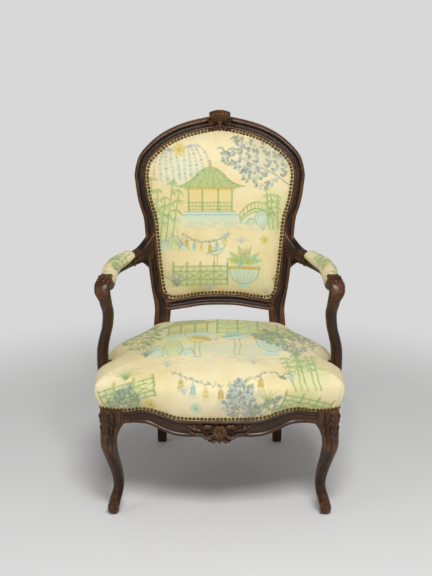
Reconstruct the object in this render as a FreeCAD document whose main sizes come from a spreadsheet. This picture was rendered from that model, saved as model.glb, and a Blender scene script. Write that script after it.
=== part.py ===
import FreeCAD, Part
import math
import os
import Sketcher
from FreeCAD import Vector, Placement, Rotation

# Fauteuil en cabriolet: a moulded and carved show-wood frame with mortise and tenon joints,
# a concave raked back, set-back arm supports and fixed, nailed upholstery.
# X to the right as seen from the front, +Y to the back, +Z up, millimetres.
# Pieces are built with Y measured from the middle of the front feet; their Placement then moves
# them forward by "setback", so that the origin is on the floor under the middle of the chair.

doc = FreeCAD.newDocument("fauteuil")

# Driving dimensions.

SIZES = [
    ("setback", 250, "front feet to the origin"),
    ("front_width", 600, "outside width over the front legs"),
    ("back_width", 368, "outside width over the back legs at the seat rails"),
    ("seat_depth", 409, "front feet to the middle of the back leg blocks"),
    ("front_reach", 58, "front rail's middle, ahead of the front feet"),
    ("front_bow", 40, "how far the front rail bows forward over its width"),
    ("rail_top", 312, "top of the seat rails, under the webbing"),
    ("rail_thick", 28, "thickness of the seat rails"),
    ("back_rail_thick", 24, "thickness of the back seat rail"),
    ("apron_drop", 221, "lowest point of the front rail"),
    ("apron_arch", 265, "highest point of the front rail's lower edge"),
    ("side_rail_low", 246, "lower edge of the side and back seat rails"),
    ("nails_mid", 278, "nail line in the middle of the front rail"),
    ("nails_high", 301, "nail line at the front rail's shoulders"),
    ("nails_side", 300, "nail line along the sides and the back"),
    ("rebate", 4, "depth of the rebate that takes the cloth's edge"),
    ("carve_depth", 2, "depth of the sunk field on the front rail"),
    ("lip", 9, "width of the lip and the bead on the front rail"),
    ("knee_width", 44, "front leg at its block and knee"),
    ("ankle_width", 27, "front leg at its ankle"),
    ("toe_width", 30, "front leg's scroll foot"),
    ("knee_height", 243, "where the front leg's block starts"),
    ("foot_spread", 271, "middle of the chair to the middle of a front foot"),
    ("ankle_in", 12, "how far the front ankle stands inside its foot"),
    ("ankle_back", 13, "how far the front ankle stands behind its foot"),
    ("back_foot_spread", 166, "middle of the chair to the middle of a back foot"),
    ("back_foot_kick", 64, "back foot behind its own block"),
    ("back_foot_width", 27, "back leg at its foot"),
    ("block_width", 42, "back leg at the seat rails"),
    ("stile_width", 44, "width of the back's frame"),
    ("stile_thick", 30, "thickness of the back's frame"),
    ("ledge", 15, "width of the ledge that the back's cloth is nailed to"),
    ("ledge_depth", 5, "depth of that ledge"),
    ("moulding", 4.5, "depth of the cove between the back's two ridges"),
    ("back_rake", 12.9, "rake of the back, in degrees"),
    ("back_hollow", 30, "hollow of the back across its greatest width"),
    ("waist_width", 360, "outside width of the back at its waist"),
    ("waist_height", 426, "height of the waist"),
    ("shoulder_width", 468, "greatest width of the back"),
    ("shoulder_height", 784, "height of the greatest width"),
    ("crest_joint", 802, "height of the joint between stile and crest"),
    ("crest_height", 937, "top of the crest rail, under its carving"),
    ("crown_width", 92, "width of the carved shell on the crest"),
    ("crown_rise", 17, "rise of the carved shell above the crest"),
    ("low_rail_height", 451, "middle of the back's lower rail"),
    ("low_rail_sag", 12, "how far that rail dips towards the stiles"),
    ("low_rail_width", 44, "height of the back's lower rail"),
    ("arm_root_height", 573, "where the arm leaves the stile"),
    ("elbow_height", 572, "height of the arm's knuckle"),
    ("elbow_spread", 295, "middle of the chair to the knuckle"),
    ("elbow_back", 116, "knuckle behind the front feet"),
    ("arm_width", 31, "width of the arm"),
    ("arm_thick", 22, "height of the arm"),
    ("knuckle_width", 38, "width of the arm's knuckle"),
    ("support_width", 29, "width of the arm support"),
    ("support_depth", 33, "depth of the arm support"),
    ("support_back", 157, "foot of the arm support behind the front feet"),
    ("support_out", 5, "foot of the arm support outside the rail's line"),
    ("support_foot", 53.5, "length of the arm support's foot"),
    ("tenon_thick", 9, "thickness of all tenons"),
    ("tenon_length", 26, "length of the seat rails' tenons"),
    ("short_tenon", 16, "length of the back rails' tenons"),
    ("tenon_high", 36, "height of the seat rails' tenons"),
    ("joint_gap", 0.15, "gap between a tenon and its mortise"),
    ("dowel", 12, "round tenon between the support and the arm"),
    ("peg", 6, "diameter of the joint pegs"),
    ("screw", 5, "diameter of the frame screws"),
    ("screw_head", 10, "head of the frame screws"),
    ("screw_length", 58, "length of the frame screws"),
    ("block_high", 38, "height of the corner blocks"),
    ("block_reach", 62, "reach of the corner blocks along the rails"),
    ("web_width", 46, "width of the webbing"),
    ("web_thick", 1.5, "thickness of the webbing"),
    ("web_pitch", 54, "spacing of the lengthwise webs"),
    ("cross_pitch", 78, "spacing of the crosswise webs"),
    ("web_margin", 16, "from the rail's outside to the webs' ends"),
    ("base_cloth", 1, "thickness of the hessian"),
    ("cover", 3, "thickness of the cover with its wadding"),
    ("slack", 0.3, "clearance round soft pieces"),
    ("seat_crown", 422, "top of the seat"),
    ("seat_edge", 372, "height at which the seat's sides turn over"),
    ("seat_bulge", 10, "how far the seat's sides swell past the rails"),
    ("back_crown", 16, "how far the back's stuffing swells forward"),
    ("back_stuffing", 9, "thickness of the back's stuffing at its edge"),
    ("outside_cloth", 1.5, "thickness of the cloth behind the back"),
    ("pad_width", 39, "width of the arm pad"),
    ("pad_high", 26, "height of the arm pad above the arm"),
]

sheet = doc.addObject("Spreadsheet::Sheet", "sizes")
for row, (alias, value, meaning) in enumerate(SIZES, start=1):
    sheet.set("A%d" % row, alias)
    sheet.set("B%d" % row, str(value))
    sheet.set("C%d" % row, meaning)
    sheet.setAlias("B%d" % row, alias)
doc.recompute()


def size(alias):
    return float(getattr(sheet, alias))


front_half = size("front_width") / 2
back_half = size("back_width") / 2
seat_depth = size("seat_depth")
rail_top = size("rail_top")
rail_thick = size("rail_thick")
gap = size("joint_gap")
slack = size("slack")
cover = size("cover")

X = Vector(1, 0, 0)
Y = Vector(0, 1, 0)
Z = Vector(0, 0, 1)
FRAME = Placement(Vector(0, -size("setback"), 0), Rotation())


# Curves.

def blend(table, t):
    """Smooth curve through (t, value) pairs, level at both ends (Catmull-Rom)."""
    if t <= table[0][0]:
        return table[0][1]
    if t >= table[-1][0]:
        return table[-1][1]
    i = max(k for k in range(len(table) - 1) if table[k][0] <= t)
    t0, v0 = table[i]
    t1, v1 = table[i + 1]
    before = table[i - 1] if i > 0 else table[i]
    after = table[i + 2] if i + 2 < len(table) else table[i + 1]
    slope0 = (v1 - before[1]) / (t1 - before[0])
    slope1 = (after[1] - v0) / (after[0] - t0)
    span = t1 - t0
    s = (t - t0) / span
    return ((2 * s**3 - 3 * s**2 + 1) * v0 + (s**3 - 2 * s**2 + s) * span * slope0
            + (3 * s**2 - 2 * s**3) * v1 + (s**3 - s**2) * span * slope1)


def lerp(a, b, t):
    return a + (b - a) * t


def front_face(x):
    """Serpentine front of the seat in plan: Y of the front rail's face at X."""
    return -size("front_reach") + size("front_bow") * (x / front_half) ** 2


# share of the seat's depth, share of the way from the front width to the back width
SIDE = [(0, 0), (0.15, -0.02), (0.32, 0), (0.49, 0.10), (0.64, 0.31), (0.76, 0.58), (0.88, 0.83),
        (1, 0.98)]


def side_face(y):
    """Serpentine side of the seat in plan: X of the side rail's face at Y."""
    return lerp(front_half - 1.5, back_half - 1.5, blend(SIDE, y / seat_depth))


# share of the front rail's half width, share of the way from its drop to its arch
APRON = [(0, 0), (0.09, 0.09), (0.19, 0.30), (0.33, 0.29), (0.45, 0.38), (0.56, 0.62), (0.68, 0.93),
         (0.77, 1), (0.90, 0.76), (1, 0.50)]
# the same, from the middle of the nail line to its shoulders
NAILS = [(0, 0), (0.28, 0), (0.42, 0.10), (0.53, 0.48), (0.66, 0.90), (0.77, 1), (0.88, 0.72), (1, 0.60)]


rail_end = front_half - size("knee_width") - 1


def apron_low(x):
    return lerp(size("apron_drop"), size("apron_arch"), blend(APRON, abs(x) / rail_end))


def nail_line(x):
    return lerp(size("nails_mid"), size("nails_high"), blend(NAILS, abs(x) / rail_end))


rake = math.tan(math.radians(size("back_rake")))
shoulder_half = size("shoulder_width") / 2
waist_half = size("waist_width") / 2
back_front = seat_depth - size("stile_thick") / 2 + 9


def back_face(x, z):
    """Concave, raked front of the back: Y of the frame's face at X, Z."""
    return (back_front + rake * (z - size("rail_top") - 44)
            - size("back_hollow") * (x / shoulder_half) ** 2)


# share of the height from waist to shoulder, share of the way from waist width to shoulder width
STILE = [(-0.14, 0.05), (0, 0), (0.14, 0.15), (0.32, 0.31), (0.55, 0.46), (0.68, 0.55), (0.77, 0.74),
         (0.86, 0.88), (1, 1)]
# share of the shoulder's half width, share of the height from shoulder to crest
CREST = [(1, 0), (0.99, 0.13), (0.955, 0.31), (0.86, 0.50), (0.74, 0.67), (0.60, 0.80), (0.44, 0.90),
         (0.22, 0.975), (0, 1)]


def stile_outside(z):
    t = (z - size("waist_height")) / (size("shoulder_height") - size("waist_height"))
    return lerp(waist_half, shoulder_half, blend(STILE, t))


def crest_outside():
    """The crest's upper outline, right half, as (X, Z) from the joint to the middle."""
    tall = size("crest_height") - size("shoulder_height")
    return [(sx * shoulder_half, size("shoulder_height") + sz * tall) for sx, sz in CREST]


def low_rail_middle(x):
    """Height of the middle of the back's lower rail at X."""
    t = min(abs(x) / (waist_half - size("stile_width")), 1)
    sag = blend([(0, 0), (0.35, 0.1), (0.7, 0.6), (1, 1)], t)
    return size("low_rail_height") - size("low_rail_sag") * sag


# Solids.

def wire(points):
    return Part.makePolygon(list(points) + [points[0]])


def loft(rings):
    """Solid through a row of sections with as many corners each, in flat faces from one to the next."""
    faces = [Part.Face(wire(rings[0])), Part.Face(wire(rings[-1]))]
    for lower, upper in zip(rings, rings[1:]):
        for i in range(len(lower)):
            a, b = lower[i - 1], lower[i]
            c, d = upper[i], upper[i - 1]
            normal = (b - a).cross(d - a)
            if abs(normal.dot(c - a)) < 1e-7 * normal.Length:
                faces.append(Part.Face(wire([a, b, c, d])))
            else:
                faces.append(Part.Face(wire([a, b, c])))
                faces.append(Part.Face(wire([a, c, d])))
    solid = Part.makeSolid(Part.makeShell(faces))
    if solid.Volume < 0:
        solid.reverse()
    return solid


def smooth(rings, between):
    """The same row of sections with more between them, on a curve through each corner."""
    smoothed = []
    last = len(rings) - 1
    for i in range(last):
        before = rings[max(i - 1, 0)]
        after = rings[min(i + 2, last)]
        for k in range(between + 1):
            t = k / (between + 1)
            ring = []
            for p, a, b, n in zip(before, rings[i], rings[i + 1], after):
                start = (b - p) * 0.5 if i > 0 else b - a
                end = (n - a) * 0.5 if i + 1 < last else b - a
                ring.append(a * (2 * t**3 - 3 * t**2 + 1) + start * (t**3 - 2 * t**2 + t)
                            + b * (3 * t**2 - 2 * t**3) + end * (t**3 - t**2))
            smoothed.append(ring)
    return smoothed + [rings[last]]


def prism(points, direction):
    return Part.Face(wire(points)).extrude(direction)


def box(low, high, grow=0.0):
    """Box between two corners, larger by grow on every side."""
    g = Vector(grow, grow, grow)
    low = Vector(*low) - g
    high = Vector(*high) + g
    span = high - low
    return Part.makeBox(span.x, span.y, span.z, low)


def largest(shape):
    return max(shape.Solids, key=lambda solid: solid.Volume)


def mirrored(shape):
    return shape.mirror(Vector(0, 0, 0), X)


def both(shape):
    return [shape, mirrored(shape)]


def steps(low, high, count):
    return [lerp(low, high, i / (count - 1)) for i in range(count)]


def round_bar(start, direction, radii, sides):
    """Bar from start along direction through (distance, radius) pairs, with that many sides."""
    turn = Placement(start, Rotation(Z, direction))
    rings = []
    for distance, radius in radii:
        turns = [2 * math.pi * i / sides for i in range(sides)]
        ring = [Vector(radius * math.cos(a), radius * math.sin(a), distance) for a in turns]
        rings.append([turn.multVec(point) for point in ring])
    return loft(rings)


def upright_slab(half, lower, upper, front, back, count):
    """Rail stood across the chair: lower and upper edges as functions of X, faces likewise."""
    xs = steps(-half, half, count)
    elevation = [Vector(x, -200, lower(x)) for x in xs] + [Vector(x, -200, upper(x)) for x in reversed(xs)]
    plan = [Vector(x, front(x), 0) for x in xs] + [Vector(x, back(x), 0) for x in reversed(xs)]
    return prism(elevation, Y * 900).common(prism(plan, Z * 600))


# Front legs.

def leg_ring(x, y, width, depth, z, corner, skew):
    """Section of the front leg: rounded outer corner, a quirk down its front, small arrises."""
    outline = [
        (-0.5, -0.5 + corner), (-0.5 + corner, -0.5), (0.5 - 2 * corner, -0.5), (0.5, -0.5 + 2 * corner),
        (0.5, 0.12), (0.45, 0.33), (0.31, 0.46), (0.12, 0.5), (0.05, 0.44), (-0.02, 0.5),
        (-0.5 + corner, 0.5), (-0.5, 0.5 - corner),
    ]
    return [Vector(x + a * width, y - b * depth - skew * (0.5 - a) * width, z) for a, b in outline]


def front_leg():
    knee = size("knee_width")
    ankle = size("ankle_width")
    toe = size("toe_width")
    foot_x = size("foot_spread")
    block_x = front_half - knee / 2
    block_y = front_face(block_x) + knee / 2 - 1.5
    top = size("knee_height")
    ankle_x = foot_x - size("ankle_in")
    ankle_y = size("ankle_back")
    rings = [
        leg_ring(foot_x, 5, toe * 0.78, toe * 0.84, 0, 0.14, 0),
        leg_ring(foot_x + 1, 3, toe * 0.97, toe * 1.05, 8, 0.14, 0),
        leg_ring(foot_x, 3, toe, toe * 1.05, 20, 0.14, 0),
        leg_ring(foot_x - 5, 7, lerp(toe, ankle, 0.7), ankle * 1.02, 0.17 * top, 0.13, 0),
        leg_ring(ankle_x, ankle_y - 1, ankle, ankle, 0.27 * top, 0.13, 0),
        leg_ring(ankle_x - 0.5, ankle_y, ankle * 1.02, ankle * 1.04, 0.37 * top, 0.12, 0.02),
        leg_ring(lerp(ankle_x, block_x, 0.22), lerp(ankle_y, block_y, 0.35), lerp(ankle, knee, 0.23),
                 lerp(ankle, knee, 0.25), 0.50 * top, 0.11, 0.06),
        leg_ring(lerp(ankle_x, block_x, 0.66), lerp(ankle_y, block_y, 0.80), lerp(ankle, knee, 0.44),
                 lerp(ankle, knee, 0.55), 0.64 * top, 0.09, 0.12),
        leg_ring(lerp(ankle_x, block_x, 1.04), lerp(ankle_y, block_y, 1.25), lerp(ankle, knee, 0.78),
                 lerp(ankle, knee, 0.85), 0.78 * top, 0.06, 0.18),
        leg_ring(lerp(ankle_x, block_x, 1.06), lerp(ankle_y, block_y, 1.15), lerp(ankle, knee, 0.93), knee,
                 0.90 * top, 0.03, 0.22),
        leg_ring(block_x, block_y, knee, knee, top, 0.02, 0.25),
    ]
    block = prism(rings[-1], Z * (size("nails_side") - 4 - top))
    inset = size("rebate")
    cloth_foot = size("nails_side") - 4
    under_cloth = [Vector(min(p.x, front_half - inset), max(p.y, front_face(p.x) + inset), cloth_foot)
                   for p in rings[-1]]
    under_cloth = prism(under_cloth, Z * (rail_top - cloth_foot))
    return loft(smooth(rings, 1)).fuse(block).fuse(under_cloth).removeSplitter()


leg_inside = front_half - size("knee_width")
leg_behind = front_face(front_half - size("knee_width") / 2) + size("knee_width") - 1.5
leg_behind -= 0.25 * size("knee_width") * 0.5


# Back legs with their stiles.

def frame_outline(width, thick, ledge, moulding):
    """Section of the back's frame, from the panel outwards: ledge, ridge, cove, ridge, round edge."""
    half = width / 2
    start = lerp(4, size("ledge"), ledge)
    cut = size("ledge_depth") * ledge
    cove = size("moulding") * moulding
    ridge = 1.5 * moulding
    rest = width - start
    return [
        (-half, thick - 6), (-half, lerp(4, cut + 0.5, ledge)), (-half + start, cut),
        (-half + start + 0.04 * rest + 1, 0), (-half + start + 0.16 * rest, -ridge),
        (-half + start + 0.30 * rest, 0.1 * cove), (-half + start + 0.46 * rest, cove),
        (-half + start + 0.62 * rest, 0.1 * cove), (-half + start + 0.78 * rest, -ridge),
        (half, 4), (half, thick - 6), (half - 6, thick), (-half + 6, thick),
    ]


def frame_ring(x, z, nx, nz, outline):
    """Section of the frame at X, Z of its middle line, square to it and seated on the hollow face."""
    ring = []
    for across, depth in outline:
        px = x + across * nx
        pz = z + across * nz
        ring.append(Vector(px, back_face(px, pz) + depth, pz))
    return ring


def leg_block_ring(x, y, width, depth, z):
    """Plain section of the back leg, with as many corners as the frame's section."""
    outline = frame_outline(width, depth, 0, 0)
    return [Vector(x + a, y - depth / 2 + b, z) for a, b in outline]


block_mid = back_half - size("block_width") / 2
back_leg_front = seat_depth - size("block_width") / 2 - 1


def back_leg(grow=0.0):
    width = size("block_width") + 2 * grow
    stile = size("stile_width") + 2 * grow
    thick = size("stile_thick")
    foot = size("back_foot_width")
    kick = size("back_foot_kick")
    spread = size("back_foot_spread")
    low = size("side_rail_low") - 8
    rings = [
        leg_block_ring(spread, seat_depth + kick, foot * 0.9, foot * 0.9, 0),
        leg_block_ring(spread, seat_depth + kick - 5, foot, foot * 1.05, 0.09 * low),
        leg_block_ring(lerp(spread, block_mid, 0.3), seat_depth + 0.60 * kick, foot, foot * 1.08, 0.36 * low),
        leg_block_ring(lerp(spread, block_mid, 0.7), seat_depth + 0.20 * kick, lerp(foot, width, 0.4),
                       lerp(foot, width, 0.5), 0.70 * low),
        leg_block_ring(block_mid, seat_depth + 0.5, width, width + 2, low),
        leg_block_ring(block_mid, seat_depth, width, width + 2, rail_top),
    ]
    waist = size("waist_height")
    shoulder = size("shoulder_height")
    last = size("crest_joint")
    stations = [rail_top + 0.6 * (waist - rail_top), waist, lerp(waist, shoulder, 0.14)]
    stations += [lerp(waist, shoulder, t) for t in (0.24, 0.38, 0.55, 0.68, 0.77, 0.86, 0.95)] + [last]
    for z in stations:
        share = (z - waist) / (shoulder - waist)
        if z < shoulder:
            outside = stile_outside(z)
        else:
            outside = crest_joint_outside
        ledge = min(max((share - 0.03) / 0.1, 0), 1)
        moulded = min(max((share + 0.25) / 0.2, 0), 1)
        outline = frame_outline(stile, lerp(thick + 3, thick, min(max(share + 0.5, 0), 1)) + grow, ledge, moulded)
        outline = [(a, b - grow) for a, b in outline]
        rings.append(frame_ring(outside - size("stile_width") / 2, z, 1, 0, outline))
    return loft(smooth(rings[:4], 2)[:-1] + rings[3:])


# the crest meets the stile a little above the greatest width
crest_tall = size("crest_height") - size("shoulder_height")
joint_share = (size("crest_joint") - size("shoulder_height")) / crest_tall
crest_joint_outside = shoulder_half * blend([(sz, sx) for sx, sz in CREST], joint_share)


# Crest rail.

def rosette(radius, petals, rise, squash):
    """Lobed carved boss about the origin, raised along -Y, lower than wide by squash."""
    def ring(scale, y):
        points = []
        count = petals * 4
        for i in range(count):
            angle = 2 * math.pi * i / count + math.pi / 2
            lobe = 1 - 0.16 * (0.5 - 0.5 * math.cos(petals * (angle - math.pi / 2)))
            points.append(Vector(radius * scale * lobe * math.cos(angle), y,
                                 radius * scale * lobe * squash * math.sin(angle)))
        return points
    petals_shape = loft([ring(1.0, 0), ring(1.0, -0.45 * rise), ring(0.62, -0.8 * rise)])
    button = Part.makeCone(0.34 * radius * squash, 0.16 * radius * squash, 0.45 * rise,
                           Vector(0, -0.7 * rise, 0), Vector(0, -1, 0))
    return petals_shape.fuse(button)


def crest_rail():
    outer = [p for p in crest_outside() if p[1] > size("crest_joint") + 6]
    outer = [(crest_joint_outside, size("crest_joint"))] + outer
    outer = outer + [(-x, z) for x, z in reversed(outer[:-1])]
    curve = Part.BSplineCurve()
    curve.interpolate([Vector(x, 0, z) for x, z in outer])
    width = size("stile_width")
    outline = frame_outline(width, size("stile_thick"), 1, 1)
    rings = []
    count = 21
    for i in range(count):
        at = lerp(curve.FirstParameter, curve.LastParameter, i / (count - 1))
        point = curve.value(at)
        along = curve.tangent(at)[0]
        if i == 0:
            along = Z
        if i == count - 1:
            along = -Z
        nx, nz = along.z, -along.x
        if i == 0 or i == count - 1:
            nx, nz = (1, 0) if point.x > 0 else (-1, 0)
        rings.append(frame_ring(point.x - nx * width / 2, point.z - nz * width / 2, nx, nz, outline))
    return loft(rings)


# Seat plan, shared by the upholstery.

back_rail_front = seat_depth - size("back_rail_thick") / 2
back_rail_rear = seat_depth + size("back_rail_thick") / 2


def seat_plan(inset=0.0):
    """Corners of the seat in plan at the rails' outside, from the front middle round and back."""
    half = []
    corner = front_half - inset
    for share in (0, 0.17, 0.33, 0.5, 0.67, 0.83, 0.95):
        x = share * corner
        half.append((x, front_face(x) + inset))
    half.append((corner, front_face(corner) + inset + 8))
    for share in (0.12, 0.24, 0.36, 0.48, 0.59, 0.70, 0.80, 0.90, 0.97):
        y = share * seat_depth
        half.append((side_face(y) - inset, y))
    half.append((back_half - 2 - inset, back_rail_rear - inset - 6))
    half.append((0.9 * back_half, back_rail_rear - inset))
    half.append((0.45 * back_half, back_rail_rear - inset))
    return half + [(-x, y) for x, y in reversed(half) if x > 0]


seat_mid = 0.49 * seat_depth


def seat_ring(z, out, inset=0.0, rounding=0.0):
    """Ring of the seat's upholstery at height Z, swollen by out beyond the rails, rounded by a share."""
    grow = 1 + out / (0.9 * front_half)
    mean = 0.9 * front_half
    ring = []
    for x, y in seat_plan(inset):
        even = grow * lerp(1, mean / math.hypot(x, y - seat_mid), rounding)
        ring.append(Vector(x * even, seat_mid + (y - seat_mid) * even, z))
    return ring


# share of the height from the seat's edge to its crown, inset there, share of rounding
CROWN = [(0.20, 13, 0.03), (0.40, 35, 0.13), (0.62, 75, 0.33), (0.82, 128, 0.6), (0.95, 182, 0.85), (1, 235, 1)]


def seat_form(low, inset):
    """Cushion: drawn in at the nails, swelling sides, rounded edge and crowned top."""
    edge = size("seat_edge")
    bulge = size("seat_bulge")
    crown = size("seat_crown")
    sides = [(low, 0), (lerp(low, edge, 0.25), 0.35), (lerp(low, edge, 0.5), 0.85),
             (lerp(low, edge, 0.72), 1), (lerp(low, edge, 0.88), 0.8), (edge, 0)]
    rings = [seat_ring(z, bulge * share, inset) for z, share in sides]
    for share, pull, rounding in CROWN:
        rings.append(seat_ring(lerp(edge, crown, share) - inset, -pull, inset, rounding))
    return loft(rings)


# Arms.

elbow = Vector(size("elbow_spread"), size("elbow_back"), size("elbow_height"))
root_height = size("arm_root_height")
root_x = stile_outside(root_height)
root = Vector(root_x - 3, back_face(root_x, root_height) + size("stile_thick") / 2 - 2, root_height)
support_top = Vector(elbow.x - 4, elbow.y - 15, elbow.z - 27)

# share of the way from root to knuckle in X and in Y, rise above the line, height and width shares
ARM = [(0.16, 0.04, -1, 2.25, 0.97), (0.33, 0.10, -6, 1.70, 0.97), (0.50, 0.18, -9, 1.25, 0.98),
       (0.69, 0.30, -11, 1.05, 1), (0.85, 0.44, -11, 1, 1.03), (0.93, 0.62, -10, 1, 1.04),
       (0.94, 0.79, -9, 1, 1.06), (0.95, 0.90, -7, 1.1, 1.10), (0.97, 0.955, 3, 1.85, 1.18)]


def arm_path():
    path = [(root + Vector(-12, 8, -1), 2.75, 0.92)]
    for sx, sy, rise, tall, wide in ARM:
        point = Vector(lerp(root.x, elbow.x, sx), lerp(root.y, elbow.y, sy), lerp(root.z, elbow.z, sy) + rise)
        path.append((point, tall, wide))
    knuckle = size("knuckle_width") / size("arm_width")
    path.append((elbow, 1.6, 1.06 * knuckle))
    path.append((elbow + Vector(-1, -11, -14), 1.45, 1.04 * knuckle))
    path.append((support_top, 1.5, knuckle))
    return path


def arm_frames():
    """Middle, sideways and upward directions, height and width at each station of the arm."""
    path = arm_path()
    frames = []
    for i, (point, tall, wide) in enumerate(path):
        before = path[max(i - 1, 0)][0]
        after = path[min(i + 1, len(path) - 1)][0]
        along = after - before
        if i == len(path) - 1:
            along = -Z
        along.normalize()
        flat = Vector(along.x, along.y, 0)
        if flat.Length < 0.6:
            flat = Vector(0, -1, 0)
        side = flat.cross(Z) * -1
        side.normalize()
        side = side if side.x > 0 else side * -1
        up = along.cross(side)
        up.normalize()
        frames.append((point, side, up, tall * size("arm_thick"), wide * size("arm_width")))
    return frames


def arm_outline(width, tall, grow=0.0):
    w = width + 2 * grow
    h = tall + 2 * grow
    return [(-0.5 * w, -0.12 * h), (-0.5 * w, 0.5 * h - 7), (-0.5 * w + 5, 0.5 * h), (0.5 * w - 5, 0.5 * h),
            (0.5 * w, 0.5 * h - 7), (0.5 * w, -0.12 * h), (0.32 * w, -0.42 * h), (0, -0.5 * h),
            (-0.32 * w, -0.42 * h)]


def arm():
    rings = []
    for point, side, up, tall, wide in arm_frames():
        rings.append([point + side * a + up * b for a, b in arm_outline(wide, tall)])
    return loft(smooth(rings, 1))


# share of the way down, sideways and backward bow off the straight line, width and depth shares
SUPPORT = [(0, 0, 0, 1.27, 1.0), (0.08, -8, 7, 1.1, 0.98), (0.19, -8, 15, 1, 0.95), (0.36, -5, 26, 0.97, 0.96),
           (0.50, 2, 31, 1, 1), (0.63, 7, 28, 1.02, 1.04), (0.80, 6, 15, 1.02, 1.2), (0.93, 2, 4, 1, 1.5),
           (1, 0, 0, 0.96, 1.62), (1.05, 0, 0, 0.96, 1.62)]
support_base = Vector(side_face(size("support_back")) + size("support_out"), size("support_back"),
                      size("nails_side"))


def support(grow=0.0, down_to=1.05):
    rings = []
    for s, dx, dy, wide, deep in SUPPORT:
        if s > down_to:
            continue
        x = lerp(support_top.x, support_base.x, s) + dx
        y = lerp(support_top.y, support_base.y, s) + dy
        z = lerp(support_top.z, support_base.z, s)
        w = wide * size("support_width") + 2 * grow
        d = deep * size("support_depth") + 2 * grow
        outline = [(-0.5, 0.28), (-0.5, -0.22), (-0.3, -0.45), (0, -0.5), (0.3, -0.45), (0.5, -0.22),
                   (0.5, 0.28), (0.32, 0.5), (-0.32, 0.5)]
        rings.append([Vector(x + a * w, y + b * d, z) for a, b in outline])
    return loft(smooth(rings, 1))


# Arm pads.

def pad(first, last, inset):
    """Padding on top of the arm between two of its stations, rounded over its length."""
    frames = arm_frames()
    rings = []
    count = 9
    for i in range(count):
        at = lerp(first, last, i / (count - 1))
        k = min(int(at), len(frames) - 2)
        t = at - k
        (p0, s0, u0, h0, w0), (p1, s1, u1, h1, w1) = frames[k], frames[k + 1]
        point = p0 * (1 - t) + p1 * t
        side = s0 * (1 - t) + s1 * t
        up = u0 * (1 - t) + u1 * t
        side.normalize()
        up.normalize()
        fullness = math.sin(math.pi * lerp(0.14, 0.86, i / (count - 1))) ** 0.6
        w = lerp(0.70, 1, fullness) * size("pad_width") - 2 * inset
        h = fullness * size("pad_high") - inset
        base = 0.5 * lerp(h0, h1, t)
        outline = [(-0.36 * w, -9), (-0.5 * w, 0.12 * h), (-0.44 * w, 0.58 * h), (-0.24 * w, 0.9 * h),
                   (0, h), (0.24 * w, 0.9 * h), (0.44 * w, 0.58 * h), (0.5 * w, 0.12 * h), (0.36 * w, -9)]
        rings.append([point + side * a + up * (base + b) for a, b in outline])
    return loft(rings)


# Build: show-wood frame.

thick = size("tenon_thick")
long_tenon = size("tenon_length")
short_tenon = size("short_tenon")
tenon_mid = (size("nails_side") + size("side_rail_low")) / 2 + 6
tenon_z = (tenon_mid - size("tenon_high") / 2, tenon_mid + size("tenon_high") / 2)

# front rail's tenon into the front leg
front_tenon_y = front_face(leg_inside) + rail_thick / 2
front_tenon = ((leg_inside - 8, front_tenon_y - thick / 2, tenon_z[0]),
               (leg_inside + long_tenon, front_tenon_y + thick / 2, tenon_z[1]))
# side rail's tenon into the front leg
side_tenon_x = side_face(leg_behind) - rail_thick / 2
side_tenon = ((side_tenon_x - thick / 2, leg_behind - long_tenon, tenon_z[0]),
              (side_tenon_x + thick / 2, leg_behind + 8, tenon_z[1]))
# side rail's tenon into the back leg
rear_tenon_x = back_half - 2 - rail_thick / 2 - 2
rear_tenon = ((rear_tenon_x - thick / 2, back_leg_front - 10, tenon_z[0]),
              (rear_tenon_x + thick / 2, back_leg_front + long_tenon, tenon_z[1]))
# back seat rail's tenon into the back leg
back_leg_inside = back_half - size("block_width")
back_tenon = ((back_leg_inside - 6, seat_depth - thick / 2, tenon_z[0]),
              (back_leg_inside + short_tenon, seat_depth + thick / 2, tenon_z[1]))
# lower rail's tenon into the stile
low_end = waist_half - size("stile_width")
low_z = low_rail_middle(low_end)
low_y = back_face(low_end, low_z) + size("stile_thick") / 2 + 1.5
low_tenon = ((low_end - 8, low_y - thick / 2, low_z - 10),
             (low_end + short_tenon, low_y + thick / 2, low_z + 10))
# stile's tenon up into the crest
crest_x = crest_joint_outside - size("stile_width") / 2
crest_y = back_face(crest_x, size("crest_joint")) + size("stile_thick") / 2 + 3
crest_tenon = ((crest_x - 9, crest_y - thick / 2, size("crest_joint") - 4),
               (crest_x + 7, crest_y + thick / 2, size("crest_joint") + short_tenon + 4))

# pegs through those tenons, each from the surface that it shows on: start, direction, length
peg_r = size("peg") / 2
leg_front_y = front_face(leg_inside)
PEGS = [
    ("front_rail", Vector(leg_inside + 11, leg_behind - 1, tenon_mid), -Y, leg_behind - leg_front_y - 4),
    ("side_rail", Vector(leg_inside, leg_behind - 12, tenon_mid + 8), X, side_tenon_x - leg_inside + 9),
    ("side_rail_rear", Vector(back_leg_inside, back_leg_front + 6, tenon_mid), X,
     rear_tenon_x - back_leg_inside + 9),
    ("back_rail", Vector(back_leg_inside + 9, seat_depth + size("block_width") / 2 + 1, tenon_mid), -Y, 30),
    ("low_rail", Vector(low_end + 8, low_y + size("stile_thick") / 2 + 1, low_z), -Y, 24),
    ("crest", Vector(crest_x, crest_y + size("stile_thick") / 2 + 2, size("crest_joint") + 11), -Y, 24),
]


def peg_holes(name):
    holes = []
    for title, start, direction, length in PEGS:
        if title == name:
            holes.append(round_bar(start, direction, [(-8, peg_r + gap), (length + gap, peg_r + gap)], 8))
    return holes


def cut_all(shape, tools):
    for tool in tools:
        shape = shape.cut(tool)
    return shape


# screws: from behind the stile into the arm, and up through the side rail into the support
screw_r = size("screw") / 2
screw_long = size("screw_length")
ARM_SCREW = (Vector(root_x - 34, back_face(root_x - 34, root_height) + size("stile_thick") - 1, root_height),
             Vector(0.93, -0.36, 0.05))
support_screw_x = support_base.x - 9
SUPPORT_SCREW = (Vector(support_screw_x, support_base.y, size("side_rail_low") + 2), Z)


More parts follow.
